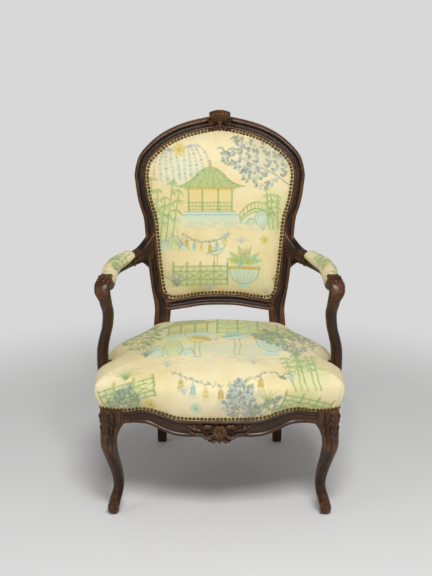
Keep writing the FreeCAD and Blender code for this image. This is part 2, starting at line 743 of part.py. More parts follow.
def screw_shape(start, direction, grow=0.0):
    direction = Vector(direction)
    direction.normalize()
    head = size("screw_head") / 2 + grow
    radii = [(0, head), (3.5, screw_r + grow), (screw_long + grow, screw_r + grow)]
    if grow:
        radii = [(-30, head)] + radii
    return round_bar(start, direction, radii, 10)


right = {}

# each piece is scribed to its neighbour's uncut stock, so that nothing of it is left in a mortise
leg_stock = front_leg()
post_stock = back_leg()
leg = cut_all(leg_stock, [box(*front_tenon, grow=gap), box(*side_tenon, grow=gap)])
leg = cut_all(leg, peg_holes("front_rail") + peg_holes("side_rail"))
right["front_leg"] = largest(leg)

crest_peg = peg_holes("crest")
post = post_stock.fuse(box(*crest_tenon))
post = cut_all(post, [box(*rear_tenon, grow=gap), box(*back_tenon, grow=gap), box(*low_tenon, grow=gap)])
post = cut_all(post, peg_holes("side_rail_rear") + peg_holes("back_rail"))
post = cut_all(post, peg_holes("low_rail") + crest_peg)
post = cut_all(post, [screw_shape(*ARM_SCREW, grow=gap)])
right["back_leg"] = largest(post)

# side rail: sawn to the seat's plan, rebated along its top, swelling out under the arm support
ys = steps(leg_behind - 8, back_leg_front + 12, 13)
outer = [Vector(side_face(y), y, size("side_rail_low")) for y in ys]
inner = [Vector(side_face(y) - rail_thick, y, size("side_rail_low")) for y in reversed(ys)]
rail = prism(outer + inner, Z * (rail_top - size("side_rail_low")))
rebate = [Vector(side_face(y) - size("rebate"), y, size("nails_side")) for y in reversed(ys)]
rail = rail.cut(prism([p + Z * (size("nails_side") - p.z) + X * 5 for p in outer] + rebate, Z * 90))
foot_w = size("support_width") * 0.96
foot_d = size("support_foot")
swell = []
for z, share in ((size("nails_side"), 1), (size("nails_side") - 12, 0.92), (size("side_rail_low") + 6, 0.2)):
    reach = support_base.x + foot_w / 2 * share - (1 - share) * 7
    length = foot_d / 2 * lerp(0.5, 1.04, share)
    inside = side_face(support_base.y) - rail_thick / 2
    middle = support_base.y
    swell.append([Vector(inside, middle - length, z), Vector(reach - 5, middle - length, z),
                  Vector(reach, middle - length * 0.6, z), Vector(reach, middle + length * 0.6, z),
                  Vector(reach - 5, middle + length, z), Vector(inside, middle + length, z)])
rail_stock = largest(rail.fuse(loft(swell)).cut(leg_stock).cut(post_stock))
rail = rail_stock.fuse([box(*side_tenon), box(*rear_tenon)])
rail = cut_all(rail, peg_holes("side_rail") + peg_holes("side_rail_rear"))
rail = cut_all(rail, [screw_shape(*SUPPORT_SCREW, grow=gap)])
right["side_rail"] = largest(rail)

# arm support and arm: scribed to the rail and to the stile, joined at the knuckle by a round tenon
dowel_r = size("dowel") / 2
dowel = round_bar(support_top, Z, [(-2, dowel_r), (14, dowel_r)], 12)
dowel_hole = round_bar(support_top, Z, [(-2, dowel_r + gap), (14 + gap, dowel_r + gap)], 12)
console = support().cut(rail_stock).cut(box((0, 0, 0), (700, 700, size("nails_side"))))
console = largest(console).fuse(dowel)
console = console.cut(screw_shape(*SUPPORT_SCREW, grow=gap))
right["arm_support"] = largest(console)
armrest = arm().cut(post_stock).cut(dowel_hole).cut(screw_shape(*ARM_SCREW, grow=gap))
right["arm"] = largest(armrest)

for name, shape in right.items():
    right[name] = shape.removeSplitter()

# front rail: sawn to its apron outline and to the serpentine plan, with a lip and a bead
over = rail_end + 14
front_rail = upright_slab(over, apron_low, lambda x: rail_top, front_face,
                          lambda x: front_face(x) + rail_thick, 33)
under_cloth = upright_slab(over, nail_line, lambda x: rail_top + 20, lambda x: front_face(x) - 5,
                           lambda x: front_face(x) + size("rebate"), 33)
field = upright_slab(rail_end - 20, lambda x: apron_low(x) + size("lip"),
                     lambda x: nail_line(x) - size("lip"), lambda x: front_face(x) - 5,
                     lambda x: front_face(x) + size("carve_depth"), 29)
front_rail = front_rail.cut(under_cloth).cut(field)
shell = rosette(27, 7, 13, 0.9)
shell.translate(Vector(0, front_face(0) + 6, lerp(size("apron_drop"), size("nails_mid"), 0.52)))
front_rail = front_rail.fuse(shell)
for solid in both(leg_stock):
    front_rail = front_rail.cut(solid)
front_rail = largest(front_rail).fuse(both(box(*front_tenon)))
for hole in peg_holes("front_rail"):
    front_rail = cut_all(front_rail, both(hole))

# lower rail of the back
low_rings = []
for x in steps(-low_end - 12, low_end + 12, 13):
    ahead = low_rail_middle(x + 1) - low_rail_middle(x - 1)
    tilt = math.atan2(ahead, 2)
    outline = frame_outline(size("low_rail_width"), size("stile_thick"), 1, 1)
    low_rings.append(frame_ring(x, low_rail_middle(x), math.sin(tilt), -math.cos(tilt), outline))
low_rail = loft(low_rings)
for solid in both(post_stock):
    low_rail = low_rail.cut(solid)
low_rail = largest(low_rail).fuse(both(box(*low_tenon)))
for hole in peg_holes("low_rail"):
    low_rail = cut_all(low_rail, both(hole))

# crest rail with its carved shell
crest = crest_rail()
crown = rosette(size("crown_width") / 2, 9, 17, 0.56)
crown_z = size("crest_height") + size("crown_rise") - size("crown_width") * 0.28
crown.translate(Vector(0, back_face(0, crown_z) + 7, crown_z))
crest = crest.fuse(crown)
for solid in both(post_stock):
    crest = crest.cut(solid)
crest = cut_all(largest(crest), both(box(*crest_tenon, grow=gap)))
for hole in crest_peg:
    crest = cut_all(crest, both(hole))


# Document objects.

parts = []


def add_feature(label, shape):
    """A sculpted piece: its shape from the sizes above, then its place."""
    feature = doc.addObject("Part::Feature", label)
    feature.Shape = shape
    feature.Label = label
    feature.Placement = FRAME
    parts.append(feature)
    return feature


for name, shape in right.items():
    add_feature(name + "_right", shape)
    add_feature(name + "_left", mirrored(shape))
add_feature("front_rail", largest(front_rail).removeSplitter())
add_feature("lower_back_rail", largest(low_rail).removeSplitter())
add_feature("crest_rail", largest(crest).removeSplitter())


def compound(label, members):
    group = doc.addObject("Part::Compound", label)
    group.Label = label
    group.Links = members
    group.Placement = FRAME
    parts.append(group)


# back seat rail: a body with its long tenons, the cloth's rebate along its rear
body = doc.addObject("PartDesign::Body", "back_rail_body")
body.Label = "back_rail_body"


def origin_plane(owner, role):
    return [f for f in owner.Origin.OriginFeatures if f.Role == role][0]


def rectangle(owner, name, role, x0, x1, y0, y1):
    """Sketch of a rectangle whose four sides are bound to expressions."""
    sketch = owner.newObject("Sketcher::SketchObject", name)
    sketch.AttachmentSupport = [(origin_plane(owner, role), "")]
    sketch.MapMode = "FlatFace"
    corners = [Vector(-1, -1, 0), Vector(1, -1, 0), Vector(1, 1, 0), Vector(-1, 1, 0)]
    for i in range(4):
        sketch.addGeometry(Part.LineSegment(corners[i], corners[(i + 1) % 4]), False)
    for i in range(4):
        sketch.addConstraint(Sketcher.Constraint("Coincident", i, 2, (i + 1) % 4, 1))
    sketch.addConstraint([Sketcher.Constraint("Horizontal", 0), Sketcher.Constraint("Horizontal", 2),
                          Sketcher.Constraint("Vertical", 1), Sketcher.Constraint("Vertical", 3)])
    names = (("left", "DistanceX", 0, 1, x0), ("low", "DistanceY", 0, 1, y0),
             ("width", "DistanceX", 0, 2, x1), ("high", "DistanceY", 1, 2, y1))
    for title, kind, line, end, expression in names:
        index = sketch.addConstraint(Sketcher.Constraint(kind, -1, 1, line, end, 1.0))
        sketch.renameConstraint(index, title)
        sketch.setExpression("Constraints." + title, expression)
    return sketch


inside = "(sizes.back_width / 2 - sizes.block_width)"
rail_sketch = rectangle(body, "rail_elevation", "XZ_Plane", "-" + inside, inside, "sizes.side_rail_low",
                        "sizes.rail_top")
pad_rail = body.newObject("PartDesign::Pad", "rail_pad")
pad_rail.Profile = rail_sketch
pad_rail.Midplane = True
pad_rail.setExpression("Length", "sizes.back_rail_thick")
tenon_height = "((sizes.nails_side + sizes.side_rail_low) / 2 + 6"
tenon_sketch = rectangle(body, "tenon_elevation", "XZ_Plane", "-(" + inside + " + sizes.short_tenon)",
                         inside + " + sizes.short_tenon", tenon_height + " - sizes.tenon_high / 2)",
                         tenon_height + " + sizes.tenon_high / 2)")
pad_tenon = body.newObject("PartDesign::Pad", "tenon_pad")
pad_tenon.Profile = tenon_sketch
pad_tenon.Midplane = True
pad_tenon.setExpression("Length", "sizes.tenon_thick")
rebate_sketch = rectangle(body, "rebate_elevation", "YZ_Plane", "sizes.back_rail_thick / 2 - sizes.rebate",
                          "sizes.back_rail_thick / 2 + 5", "sizes.nails_side", "sizes.rail_top + 5")
rebate_cut = body.newObject("PartDesign::Pocket", "rebate_pocket")
rebate_cut.Profile = rebate_sketch
rebate_cut.Midplane = True
rebate_cut.setExpression("Length", "sizes.back_width")
body.setExpression("Placement.Base.y", "sizes.seat_depth - sizes.setback")
doc.recompute()
# the pegs' holes through both tenons
rail_holes = doc.addObject("Part::Feature", "rail_peg_holes")
rail_holes.Shape = Part.makeCompound([hole for near in peg_holes("back_rail") for hole in both(near)])
rail_holes.Placement = FRAME
drilled = doc.addObject("Part::Cut", "drilled_back_rail")
drilled.Base = body
drilled.Tool = rail_holes
drilled.Label = "back_seat_rail"
parts.append(drilled)

# pegs, whittled to eight sides
pegs = []
for title, start, direction, length in PEGS:
    for side in (1, -1):
        pin = doc.addObject("Part::Prism", "peg_" + title)
        pin.Polygon = 8
        pin.setExpression("Circumradius", "sizes.peg / 2")
        pin.Height = length
        toward = Vector(side * direction.x, direction.y, direction.z)
        pin.Placement = Placement(Vector(side * start.x, start.y, start.z), Rotation(Z, toward))
        pegs.append(pin)
compound("joint_pegs", pegs)

# screws
screws = []
for start, direction in (ARM_SCREW, SUPPORT_SCREW):
    screws += both(screw_shape(start, direction))
add_feature("frame_screws", Part.makeCompound(screws))

# corner blocks, glued into the seat frame's corners
seat_frame = [right["front_leg"], right["side_rail"], right["back_leg"], front_rail]
block_low = size("rail_top") - size("block_high") - 6
reach = size("block_reach")
front_in = front_face(leg_inside - reach) + rail_thick - 6
corner_front = [Vector(leg_inside - reach, front_in, block_low),
                Vector(leg_inside + 4, leg_front_y + rail_thick - 8, block_low),
                Vector(side_face(leg_behind) - rail_thick + 12, leg_behind - 10, block_low),
                Vector(side_face(leg_behind + reach) - rail_thick + 6, leg_behind + reach - 16, block_low)]
rear_y = back_leg_front - reach + 14
corner_rear = [Vector(side_face(rear_y) - rail_thick + 8, rear_y, block_low),
               Vector(back_leg_inside + 8, back_leg_front + 8, block_low),
               Vector(back_leg_inside + 4, back_rail_front + 6, block_low),
               Vector(back_leg_inside - reach + 10, back_rail_front + 3, block_low)]
back_rail_stock = box((-back_leg_inside, back_rail_front, size("side_rail_low")),
                      (back_leg_inside, back_rail_rear, rail_top))
for title, corners in (("corner_block_front", corner_front), ("corner_block_rear", corner_rear)):
    brace = cut_all(prism(corners, Z * size("block_high")), seat_frame + [back_rail_stock])
    brace = largest(brace)
    brace = cut_all(brace, peg_holes("front_rail") + peg_holes("side_rail") + peg_holes("side_rail_rear"))
    add_feature(title + "_right", largest(brace))
    add_feature(title + "_left", mirrored(largest(brace)))


# Build: upholstery.

# webbing: strips nailed to the rails' tops, lengthwise then crosswise
web = size("web_thick")
lengthwise = []
for k in (-2, -1, 0, 1, 2):
    x = k * size("web_pitch")
    strip = doc.addObject("Part::Box", "web_long")
    strip.setExpression("Length", "sizes.web_width")
    strip.setExpression("Height", "sizes.web_thick")
    edge = abs(x) + size("web_width") / 2
    start = front_face(edge) + size("rebate") + 4
    strip.Width = back_rail_rear - size("rebate") - 3 - start
    strip.Placement = Placement(Vector(x - size("web_width") / 2, start, rail_top), Rotation())
    lengthwise.append(strip)
compound("seat_webbing_long", lengthwise)
crosswise = []
for k in range(4):
    y = 0.15 * seat_depth + k * size("cross_pitch")
    far = y + size("web_width") / 2
    near = y - size("web_width") / 2
    half = min(side_face(far), side_face(near)) - size("web_margin")
    strip = doc.addObject("Part::Box", "web_cross")
    strip.Length = 2 * half
    strip.setExpression("Width", "sizes.web_width")
    strip.setExpression("Height", "sizes.web_thick")
    strip.Placement = Placement(Vector(-half, near, rail_top + web), Rotation())
    crosswise.append(strip)
compound("seat_webbing_cross", crosswise)

# what the soft pieces are cut round: the stiles, the arm supports
stands = both(back_leg(grow=slack)) + both(support(grow=slack))
hessian_z = rail_top + 2 * web
hessian = prism([Vector(x, y, hessian_z) for x, y in seat_plan(9)], Z * size("base_cloth"))
add_feature("seat_hessian", largest(cut_all(hessian, stands)))

stuffing_z = hessian_z + size("base_cloth")
low = size("nails_mid") - 12
outer_form = seat_form(low, 0)
inner_form = seat_form(low, cover)
above = box((-500, -300, stuffing_z), (500, 700, 600))
inner_top = inner_form.common(above)
rebate_plan = [Vector(x, y, low - 5) for x, y in seat_plan(size("rebate") - slack)]
rebate_core = prism(rebate_plan, Z * (stuffing_z - low + 5))
front_shoulder = front_face(front_half) + 30
xs = steps(-front_half - 40, front_half + 40, 61)
below_nails = [Vector(x, -150, nail_line(x)) for x in xs]
below_nails += [Vector(xs[-1], -150, 150), Vector(xs[0], -150, 150)]
below_front = prism(below_nails, Y * (150 + front_shoulder))
below_rest = box((-500, front_shoulder, 150), (500, 700, size("nails_side")))
cloth = cut_all(outer_form, [inner_top, rebate_core, below_front, below_rest] + stands)
add_feature("seat_cover", largest(cloth))
stuffing = seat_form(low, cover + slack).common(above)
add_feature("seat_stuffing", largest(cut_all(stuffing, stands)))


# Back panel.

def panel_outline(inset):
    """Edge of the back's cloth as (X, Z), inset from where the moulding starts, whole outline."""
    band = size("stile_width") - size("ledge") + inset
    half = []
    floor_edge = size("low_rail_width") / 2 - size("ledge") + inset
    corner_x = stile_outside(low_rail_middle(low_end) + 30) - band
    for share in (0, 0.3, 0.6, 0.82):
        x = share * corner_x
        half.append((x, low_rail_middle(x) + floor_edge))
    z_corner = low_rail_middle(low_end) + floor_edge
    half.append((corner_x - 7, z_corner + 7))
    for z in steps(z_corner + 24, size("shoulder_height"), 9):
        half.append((stile_outside(z) - band, z))
    outside = crest_outside()
    for i in range(1, len(outside) - 1):
        (x0, z0), (x1, z1) = outside[i - 1], outside[i + 1]
        run = math.hypot(x1 - x0, z1 - z0)
        x = outside[i][0] - band * (z1 - z0) / run
        z = outside[i][1] + band * (x1 - x0) / run
        # under a low crest that turns sharply, a point that would fold back is left out
        if x < half[-1][0] - 0.5 and z > half[-1][1] + 0.5:
            half.append((x, z))
    half.append((0, outside[-1][1] - band))
    return half + [(-x, z) for x, z in reversed(half) if x > 0]


panel_low = size("low_rail_height")
panel_high = size("crest_height") - size("stile_width") + size("ledge")


def swell_at(x, z):
    """How full the back's stuffing is at X, Z: nothing at its edge, most in the middle."""
    across = 1 - (x / (shoulder_half - size("stile_width") + size("ledge"))) ** 2
    along = 1 - ((2 * z - panel_low - panel_high) / (panel_high - panel_low)) ** 2
    return max(across, 0) ** 0.8 * max(along, 0) ** 0.6 if across > 0 and along > 0 else 0


def hollow_block(depth, fullness):
    """Block whose front follows the hollow back at a depth behind its face, swollen by fullness."""
    rows = []
    for z in steps(panel_low - 60, panel_high + 60, 15 if fullness else 2):
        row = [Vector(x, back_face(x, z) + depth - fullness * swell_at(x, z), z)
               for x in steps(-shoulder_half - 20, shoulder_half + 20, 17)]
        rows.append(row + [Vector(row[-1].x, 900, z), Vector(row[0].x, 900, z)])
    return loft(rows)


def layer(inset, depth, fullness, thickness, rear_fullness=0.0):
    """A soft layer of the back between two such surfaces, inside the panel's outline."""
    outline = prism([Vector(x, 200, z) for x, z in panel_outline(inset)], Y * 600)
    solid = outline.common(hollow_block(depth, fullness))
    return largest(solid.cut(hollow_block(depth + thickness, rear_fullness)))


ledge_at = size("ledge_depth")
sheet_cloth = size("outside_cloth")
full = size("back_crown")
add_feature("back_cover_front", layer(slack, ledge_at - sheet_cloth, full, sheet_cloth, full))
pad_inset = size("ledge") + slack
add_feature("back_stuffing", layer(pad_inset, ledge_at + slack, full, size("back_stuffing"), 0))
web_depth = ledge_at + slack + size("back_stuffing")
add_feature("back_webbing", layer(pad_inset, web_depth, 0, web, 0))
rear_depth = size("stile_thick")
add_feature("back_cover_rear", layer(pad_inset - 8, rear_depth, 0, sheet_cloth, 0))

# arm pads
for title, first, last, inset in (("arm_pad_cover", 3.0, 8.75, 0), ("arm_pad", 3.1, 8.65, 2.5)):
    padding = pad(first, last, inset)
    if title == "arm_pad_cover":
        padding = padding.cut(pad(3.08, 8.67, 2.5 - slack))
    padding = largest(padding.cut(right["arm"]))
    add_feature(title + "_right", padding)
    add_feature(title + "_left", mirrored(padding))


# Checks and files.

doc.recompute()
for thing in doc.Objects:
    if "Invalid" in thing.State or "Error" in thing.State:
        raise RuntimeError("%s failed: %s" % (thing.Label, thing.State))
os.makedirs("parts", exist_ok=True)
total = 0
for part in parts:
    shape = part.Shape
    if shape.isNull() or not shape.isValid() or not shape.Solids:
        raise RuntimeError("%s has no valid solid" % part.Label)
    corner = shape.BoundBox
    total += len(shape.Solids)
    print("%-26s %8.1f cm3  x %6.1f..%6.1f  y %6.1f..%6.1f  z %6.1f..%6.1f" % (
        part.Label, shape.Volume / 1000, corner.XMin, corner.XMax, corner.YMin, corner.YMax,
        corner.ZMin, corner.ZMax))
    shape.exportStep("parts/%s.step" % part.Label)
print("parts:", len(parts), "solids:", total)
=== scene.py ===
# %% [markdown]
# # A moulded and carved open armchair with a nailed, printed cloth cover
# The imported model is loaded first. It gives every size and place, so that each finer piece
# made below lies where the construction has it. Everything is in metres in the end, but the
# chair's own measures are written in millimetres, from the floor up and from the middle of
# the front feet back, as a chair maker would note them.

# %% The frame that all pieces follow
import math
import bmesh
import bpy
import numpy as np
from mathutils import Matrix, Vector
from mathutils.bvhtree import BVHTree


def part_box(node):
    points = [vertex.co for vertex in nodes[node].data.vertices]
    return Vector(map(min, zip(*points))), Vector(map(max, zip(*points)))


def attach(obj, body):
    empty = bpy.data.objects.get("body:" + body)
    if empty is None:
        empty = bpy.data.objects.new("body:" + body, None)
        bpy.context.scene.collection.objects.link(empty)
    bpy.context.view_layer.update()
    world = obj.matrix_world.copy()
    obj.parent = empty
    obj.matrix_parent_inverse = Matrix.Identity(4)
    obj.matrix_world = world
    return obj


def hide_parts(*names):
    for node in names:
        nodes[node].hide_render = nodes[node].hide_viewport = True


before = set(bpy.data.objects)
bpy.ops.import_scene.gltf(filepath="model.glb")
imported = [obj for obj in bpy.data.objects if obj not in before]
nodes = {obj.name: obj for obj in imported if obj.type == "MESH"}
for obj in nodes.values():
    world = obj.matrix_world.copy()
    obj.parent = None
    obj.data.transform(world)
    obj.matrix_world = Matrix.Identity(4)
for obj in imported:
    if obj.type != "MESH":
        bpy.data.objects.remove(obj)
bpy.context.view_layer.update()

SIDES = (("right", 1), ("left", -1))

# %% [markdown]
# ## Camera and studio
# The photograph was taken from a little above the seat with a long lens. The camera stands
# 3.3 m away at 1.5 m and looks down by about 17 degrees. A pale floor that curves up behind
# the chair, one broad soft lamp above and two weaker ones at the sides give the soft shadow
# under the seat and no hard edges.

# %% Camera
scene = bpy.context.scene


def put(name, data):
    """An object of a mesh, light or camera, in the scene."""
    made = bpy.data.objects.new(name, data)
    scene.collection.objects.link(made)
    return made


camera = put("photo_camera", bpy.data.cameras.new("photo_camera"))
camera.data.lens = 82.6
camera.data.sensor_width = 36
camera.location = (0, -3.34, 1.525)
camera.rotation_euler = (math.radians(90 - 16.6), 0, math.radians(0.165))
scene.camera = camera
scene.view_settings.view_transform = "Standard"
print("camera at", tuple(camera.location))


# %% Small helpers for node trees
class Nodes:
    """Adds nodes to a tree. An input given another node's output is linked, any other is set."""

    def __init__(self, tree):
        self.tree = tree

    def feed(self, node, inputs):
        for name, value in inputs.items():
            slot = node.inputs[name]
            if isinstance(value, bpy.types.NodeSocket):
                self.tree.links.new(value, slot)
            else:
                slot.default_value = (*value, 1) if slot.type == "RGBA" else value

    def new(self, kind, inputs={}, **settings):
        """Makes a node and gives back its outputs."""
        node = self.tree.nodes.new(kind)
        for name, value in settings.items():
            setattr(node, name, value)
        self.feed(node, inputs)
        return node.outputs

    def remap(self, value, low, high, to_low=0.0, to_high=1.0, ease="LINEAR"):
        return self.new("ShaderNodeMapRange", {"Value": value, "From Min": low, "From Max": high, "To Min": to_low,
                                               "To Max": to_high}, interpolation_type=ease)["Result"]

    def maths(self, kind, first, second):
        return self.new("ShaderNodeMath", {0: first, 1: second}, operation=kind)[0]

    def times(self, first, second):
        return self.maths("MULTIPLY", first, second)


def start_material(name):
    """A material, what adds nodes to it, its shader and the place on the object."""
    made = bpy.data.materials.get(name) or bpy.data.materials.new(name)
    made.use_nodes = True
    at = Nodes(made.node_tree)
    return made, at, at.tree.nodes["Principled BSDF"], at.new("ShaderNodeTexCoord")["Object"]


# %% Floor, backdrop and lamps
FLOOR_GREY = (0.745, 0.747, 0.752)
BACKGROUND = (0.687, 0.687, 0.687)
SWEEP_Y, SWEEP_RADIUS, HALF_WIDE = 3.2, 2.0, 9.0
ONLY_CHAIR_SIDE, ONLY_PALE = 0.75, 1.5   # from where to where the floor turns into the pale background


def sweep_floor():
    """Floor that runs on into a backdrop, in one smooth sheet."""
    turns = np.radians(np.linspace(0, 90, 13))
    profile = [(-7.0, 0.0)] + [(SWEEP_Y + SWEEP_RADIUS * math.sin(t), SWEEP_RADIUS * (1 - math.cos(t))) for t in turns]
    profile.append((SWEEP_Y + SWEEP_RADIUS, 7.0))
    verts = [(x, y, z) for x in (-HALF_WIDE, HALF_WIDE) for y, z in profile]
    count = len(profile)
    mesh = bpy.data.meshes.new("studio_floor")
    mesh.from_pydata(verts, [], [(i, i + count, i + count + 1, i + 1) for i in range(count - 1)])
    mesh.shade_smooth()
    paint, at, shader, where = start_material("pale_floor")
    at.feed(shader, {"Base Color": FLOOR_GREY, "Roughness": 0.9})
    away = at.new("ShaderNodeVectorMath", {0: where}, operation="LENGTH")["Value"]
    far = at.remap(away, ONLY_CHAIR_SIDE, ONLY_PALE, ease="SMOOTHSTEP")
    share = at.times(far, at.new("ShaderNodeLightPath")["Is Camera Ray"])
    glow = at.new("ShaderNodeEmission", {"Color": BACKGROUND})[0]
    blend = at.new("ShaderNodeMixShader", {0: share, 1: shader.outputs[0], 2: glow})[0]
    at.feed(at.tree.nodes["Material Output"], {"Surface": blend})
    mesh.materials.append(paint)
    put("studio_floor", mesh)


def soft_lamp(name, place, aim, width, watts):
    """A broad square lamp turned towards a point."""
    light = bpy.data.lights.new(name, "AREA")
    light.shape, light.size, light.energy = "SQUARE", width, watts
    lamp = put(name, light)
    lamp.location = place
    lamp.rotation_euler = (Vector(aim) - Vector(place)).to_track_quat("-Z", "Y").to_euler()


sweep_floor()
soft_lamp("lamp_above", (0.25, -2.3, 3.1), (0, 0.1, 0.3), 1.1, 92)
soft_lamp("lamp_left", (-2.8, -2.2, 1.9), (0, 0, 0.6), 1.8, 17)
soft_lamp("lamp_right", (2.6, -2.4, 1.6), (0, 0, 0.6), 1.8, 13)
scene.world = bpy.data.worlds.new("studio_air")
scene.world.use_nodes = True
at = Nodes(scene.world.node_tree)
air = at.tree.nodes["Background"]
at.feed(air, {"Color": (0.83, 0.82, 0.80), "Strength": 0.33})
pale = at.new("ShaderNodeBackground", {"Color": BACKGROUND})[0]
looked_at = at.new("ShaderNodeLightPath")["Is Camera Ray"]
choose = at.new("ShaderNodeMixShader", {0: looked_at, 1: air.outputs[0], 2: pale})[0]
at.feed(at.tree.nodes["World Output"], {"Surface": choose})

# %% [markdown]
# ## The chair's own lines
# A chair like this is drawn as a few flowing lines: the serpentine front and sides of the
# seat, the apron's edge, the outline of the back. Each is written once, as shares of a width
# or a height with a smooth curve through them, and every piece is seated from these lines.

# %% Lines of the seat and the back, in millimetres
FEET_TO_MIDDLE = 250
FRONT_HALF, BACK_HALF, SEAT_DEPTH = 300, 184, 409
RAIL_END, RAIL_TOP, SIDE_NAILS = 255, 312, 300
FRONT_OUT, FRONT_BOW = 58, 40      # how far the front's middle stands out, and how much it bows
BACK_RAKE, BACK_HOLLOW = 12.9, 30  # the back's lean in degrees, and how hollow it is to the sitter
STILE_LOW, STILE_HIGH, BACK_WIDE, ARCH = 426, 784, 234, 153   # the stile's ends, the back's half width and rise
SIDE = [(0, 0), (0.15, -0.02), (0.32, 0), (0.49, 0.10), (0.64, 0.31), (0.76, 0.58), (0.88, 0.83), (1, 0.98)]
APRON = [(0, 0), (0.09, 0.09), (0.19, 0.30), (0.33, 0.29), (0.45, 0.38), (0.56, 0.62), (0.68, 0.93),
         (0.77, 1), (0.87, 0.96), (0.94, 0.86), (1, 0.66)]
NAILS = [(0, 0), (0.28, 0), (0.42, 0.10), (0.53, 0.48), (0.66, 0.90), (0.77, 1), (0.88, 0.72), (1, 0.60)]
STILE = [(-0.14, 0.05), (0, 0), (0.14, 0.15), (0.32, 0.31), (0.55, 0.46), (0.68, 0.55), (0.77, 0.74),
         (0.86, 0.88), (1, 1)]
CREST = [(1, 0), (0.99, 0.13), (0.955, 0.31), (0.86, 0.495), (0.74, 0.65), (0.60, 0.775), (0.44, 0.872),
         (0.22, 0.955), (0, 1)]


def hermite(a, b, slope_a, slope_b, t):
    """Between a and b on a curve that leaves and arrives with these slopes."""
    return (a * (2 * t**3 - 3 * t**2 + 1) + slope_a * (t**3 - 2 * t**2 + t)
            + b * (3 * t**2 - 2 * t**3) + slope_b * (t**3 - t**2))


def follow(table, t):
    """Smooth curve through (t, value) pairs."""
    ts, values = np.array(table, float).T
    rise, run = np.diff(values), np.diff(ts)
    slopes = np.r_[rise[0] / run[0], (values[2:] - values[:-2]) / (ts[2:] - ts[:-2]), rise[-1] / run[-1]]
    t = np.clip(t, ts[0], ts[-1])
    i = np.clip(np.searchsorted(ts, t, side="right") - 1, 0, len(ts) - 2)
    return hermite(values[i], values[i + 1], run[i] * slopes[i], run[i] * slopes[i + 1], (t - ts[i]) / run[i])


def mix(a, b, t):
    return a + (b - a) * t


def front_face(x):
    return FRONT_BOW * (x / FRONT_HALF) ** 2 - FRONT_OUT


def side_face(y):
    return mix(FRONT_HALF - 1.5, BACK_HALF - 1.5, follow(SIDE, y / SEAT_DEPTH))


def apron_low(x):
    return mix(221, 265, follow(APRON, np.abs(x) / RAIL_END))


def nail_line(x):
    return mix(278, 301, follow(NAILS, np.abs(x) / RAIL_END))


def back_face(x, z):
    return SEAT_DEPTH - 6 + math.tan(math.radians(BACK_RAKE)) * (z - 356) - BACK_HOLLOW * (x / BACK_WIDE) ** 2


def stile_outside(z):
    return mix(180, BACK_WIDE, follow(STILE, (z - STILE_LOW) / (STILE_HIGH - STILE_LOW)))


def low_rail_middle(x):
    return 451 - 12 * follow([(0, 0), (0.35, 0.1), (0.7, 0.6), (1, 1)], np.abs(x) / 136)


def crest_points():
    """The crest's outline from its end over the stile to the middle."""
    return [(sx * BACK_WIDE, STILE_HIGH + sz * ARCH) for sx, sz in CREST]


print("apron %.0f to %.0f mm high" % (apron_low(0), apron_low(0.77 * RAIL_END)))

# %% [markdown]
# ## From sections to a carved-looking solid
# A moulded member keeps one profile that slides along a line and changes slowly, so each is
# a row of closed sections. More sections are put between the drawn ones on a smooth curve,
# each section's corners are cut twice to round them as a scraper does, and the skin is
# stretched from one to the next. A bevelled box would never give these flowing lines.

# %% Helpers that turn sections into a piece
def between(rings, extra):
    """The same sections with more between them, on a smooth curve through each corner."""
    rings = np.asarray(rings, float)
    slope = np.concatenate([rings[1:2] - rings[:1], (rings[2:] - rings[:-2]) / 2, rings[-1:] - rings[-2:-1]])
    out = [hermite(rings[i], rings[i + 1], slope[i], slope[i + 1], k / (extra + 1))
           for i in range(len(rings) - 1) for k in range(extra + 1)]
    return np.array(out + [rings[-1]])


def rounded(outline, times=2):
    """A closed section with its corners cut, again and again."""
    outline = np.asarray(outline, float)
    for _ in range(times):
        ahead = np.roll(outline, -1, axis=0)
        outline = np.stack([outline * 0.75 + ahead * 0.25, outline * 0.25 + ahead * 0.75], 1)
        outline = outline.reshape(-1, outline.shape[-1])
    return outline


def softened(outline, share):
    """An outline pulled towards the ellipse around it."""
    half_a, half_b = (max(abs(point[i]) for point in outline) for i in (0, 1))
    made = []
    for a, b in outline:
        turn = math.atan2(b / half_b, a / half_a)
        made.append((mix(a, half_a * math.cos(turn), share), mix(b, half_b * math.sin(turn), share)))
    return made


def unit(vectors):
    """Rows of vectors made one long."""
    return vectors / np.linalg.norm(vectors, axis=1)[:, None]


def flipped(points):
    """The other half of an outline that is the same on both sides."""
    return [(-a, b) for a, b in reversed(points)]


def in_frame(points):
    """From the maker's millimetres to the model's metres."""
    return (np.asarray(points, float).reshape(-1, 3) - (0, FEET_TO_MIDDLE, 0)) / 1000


def to_maker(points):
    """From the model's metres to the maker's millimetres."""
    return np.asarray(points) * 1000 + (0, FEET_TO_MIDDLE, 0)


def ring_faces(rows, columns, first=0):
    """Four-sided faces of a skin over closed sections."""
    here = first + np.arange(columns)
    ahead = np.roll(here, -1)
    faces = []
    for a in range(0, (rows - 1) * columns, columns):
        faces += np.stack([a + here, a + ahead, a + columns + ahead, a + columns + here], 1).tolist()
    return faces


def settle(piece):
    """What every piece gets: the body it rides on."""
    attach(piece, "root")
    print("%-26s %6d faces" % (piece.name, len(piece.data.polygons)))
    return piece


def finish_mesh(name, verts, faces, crease=38):
    """Makes the object from points and faces, turns its faces outwards and shades it smoothly."""
    mesh = bpy.data.meshes.new(name)
    mesh.from_pydata(in_frame(verts).tolist(), [], faces)
    shell = bmesh.new()
    shell.from_mesh(mesh)
    bmesh.ops.recalc_face_normals(shell, faces=shell.faces)
    shell.to_mesh(mesh)
    shell.free()
    mesh.shade_smooth()
    mesh.set_sharp_from_angle(angle=math.radians(crease))
    return settle(put(name, mesh))


wood_pieces = []


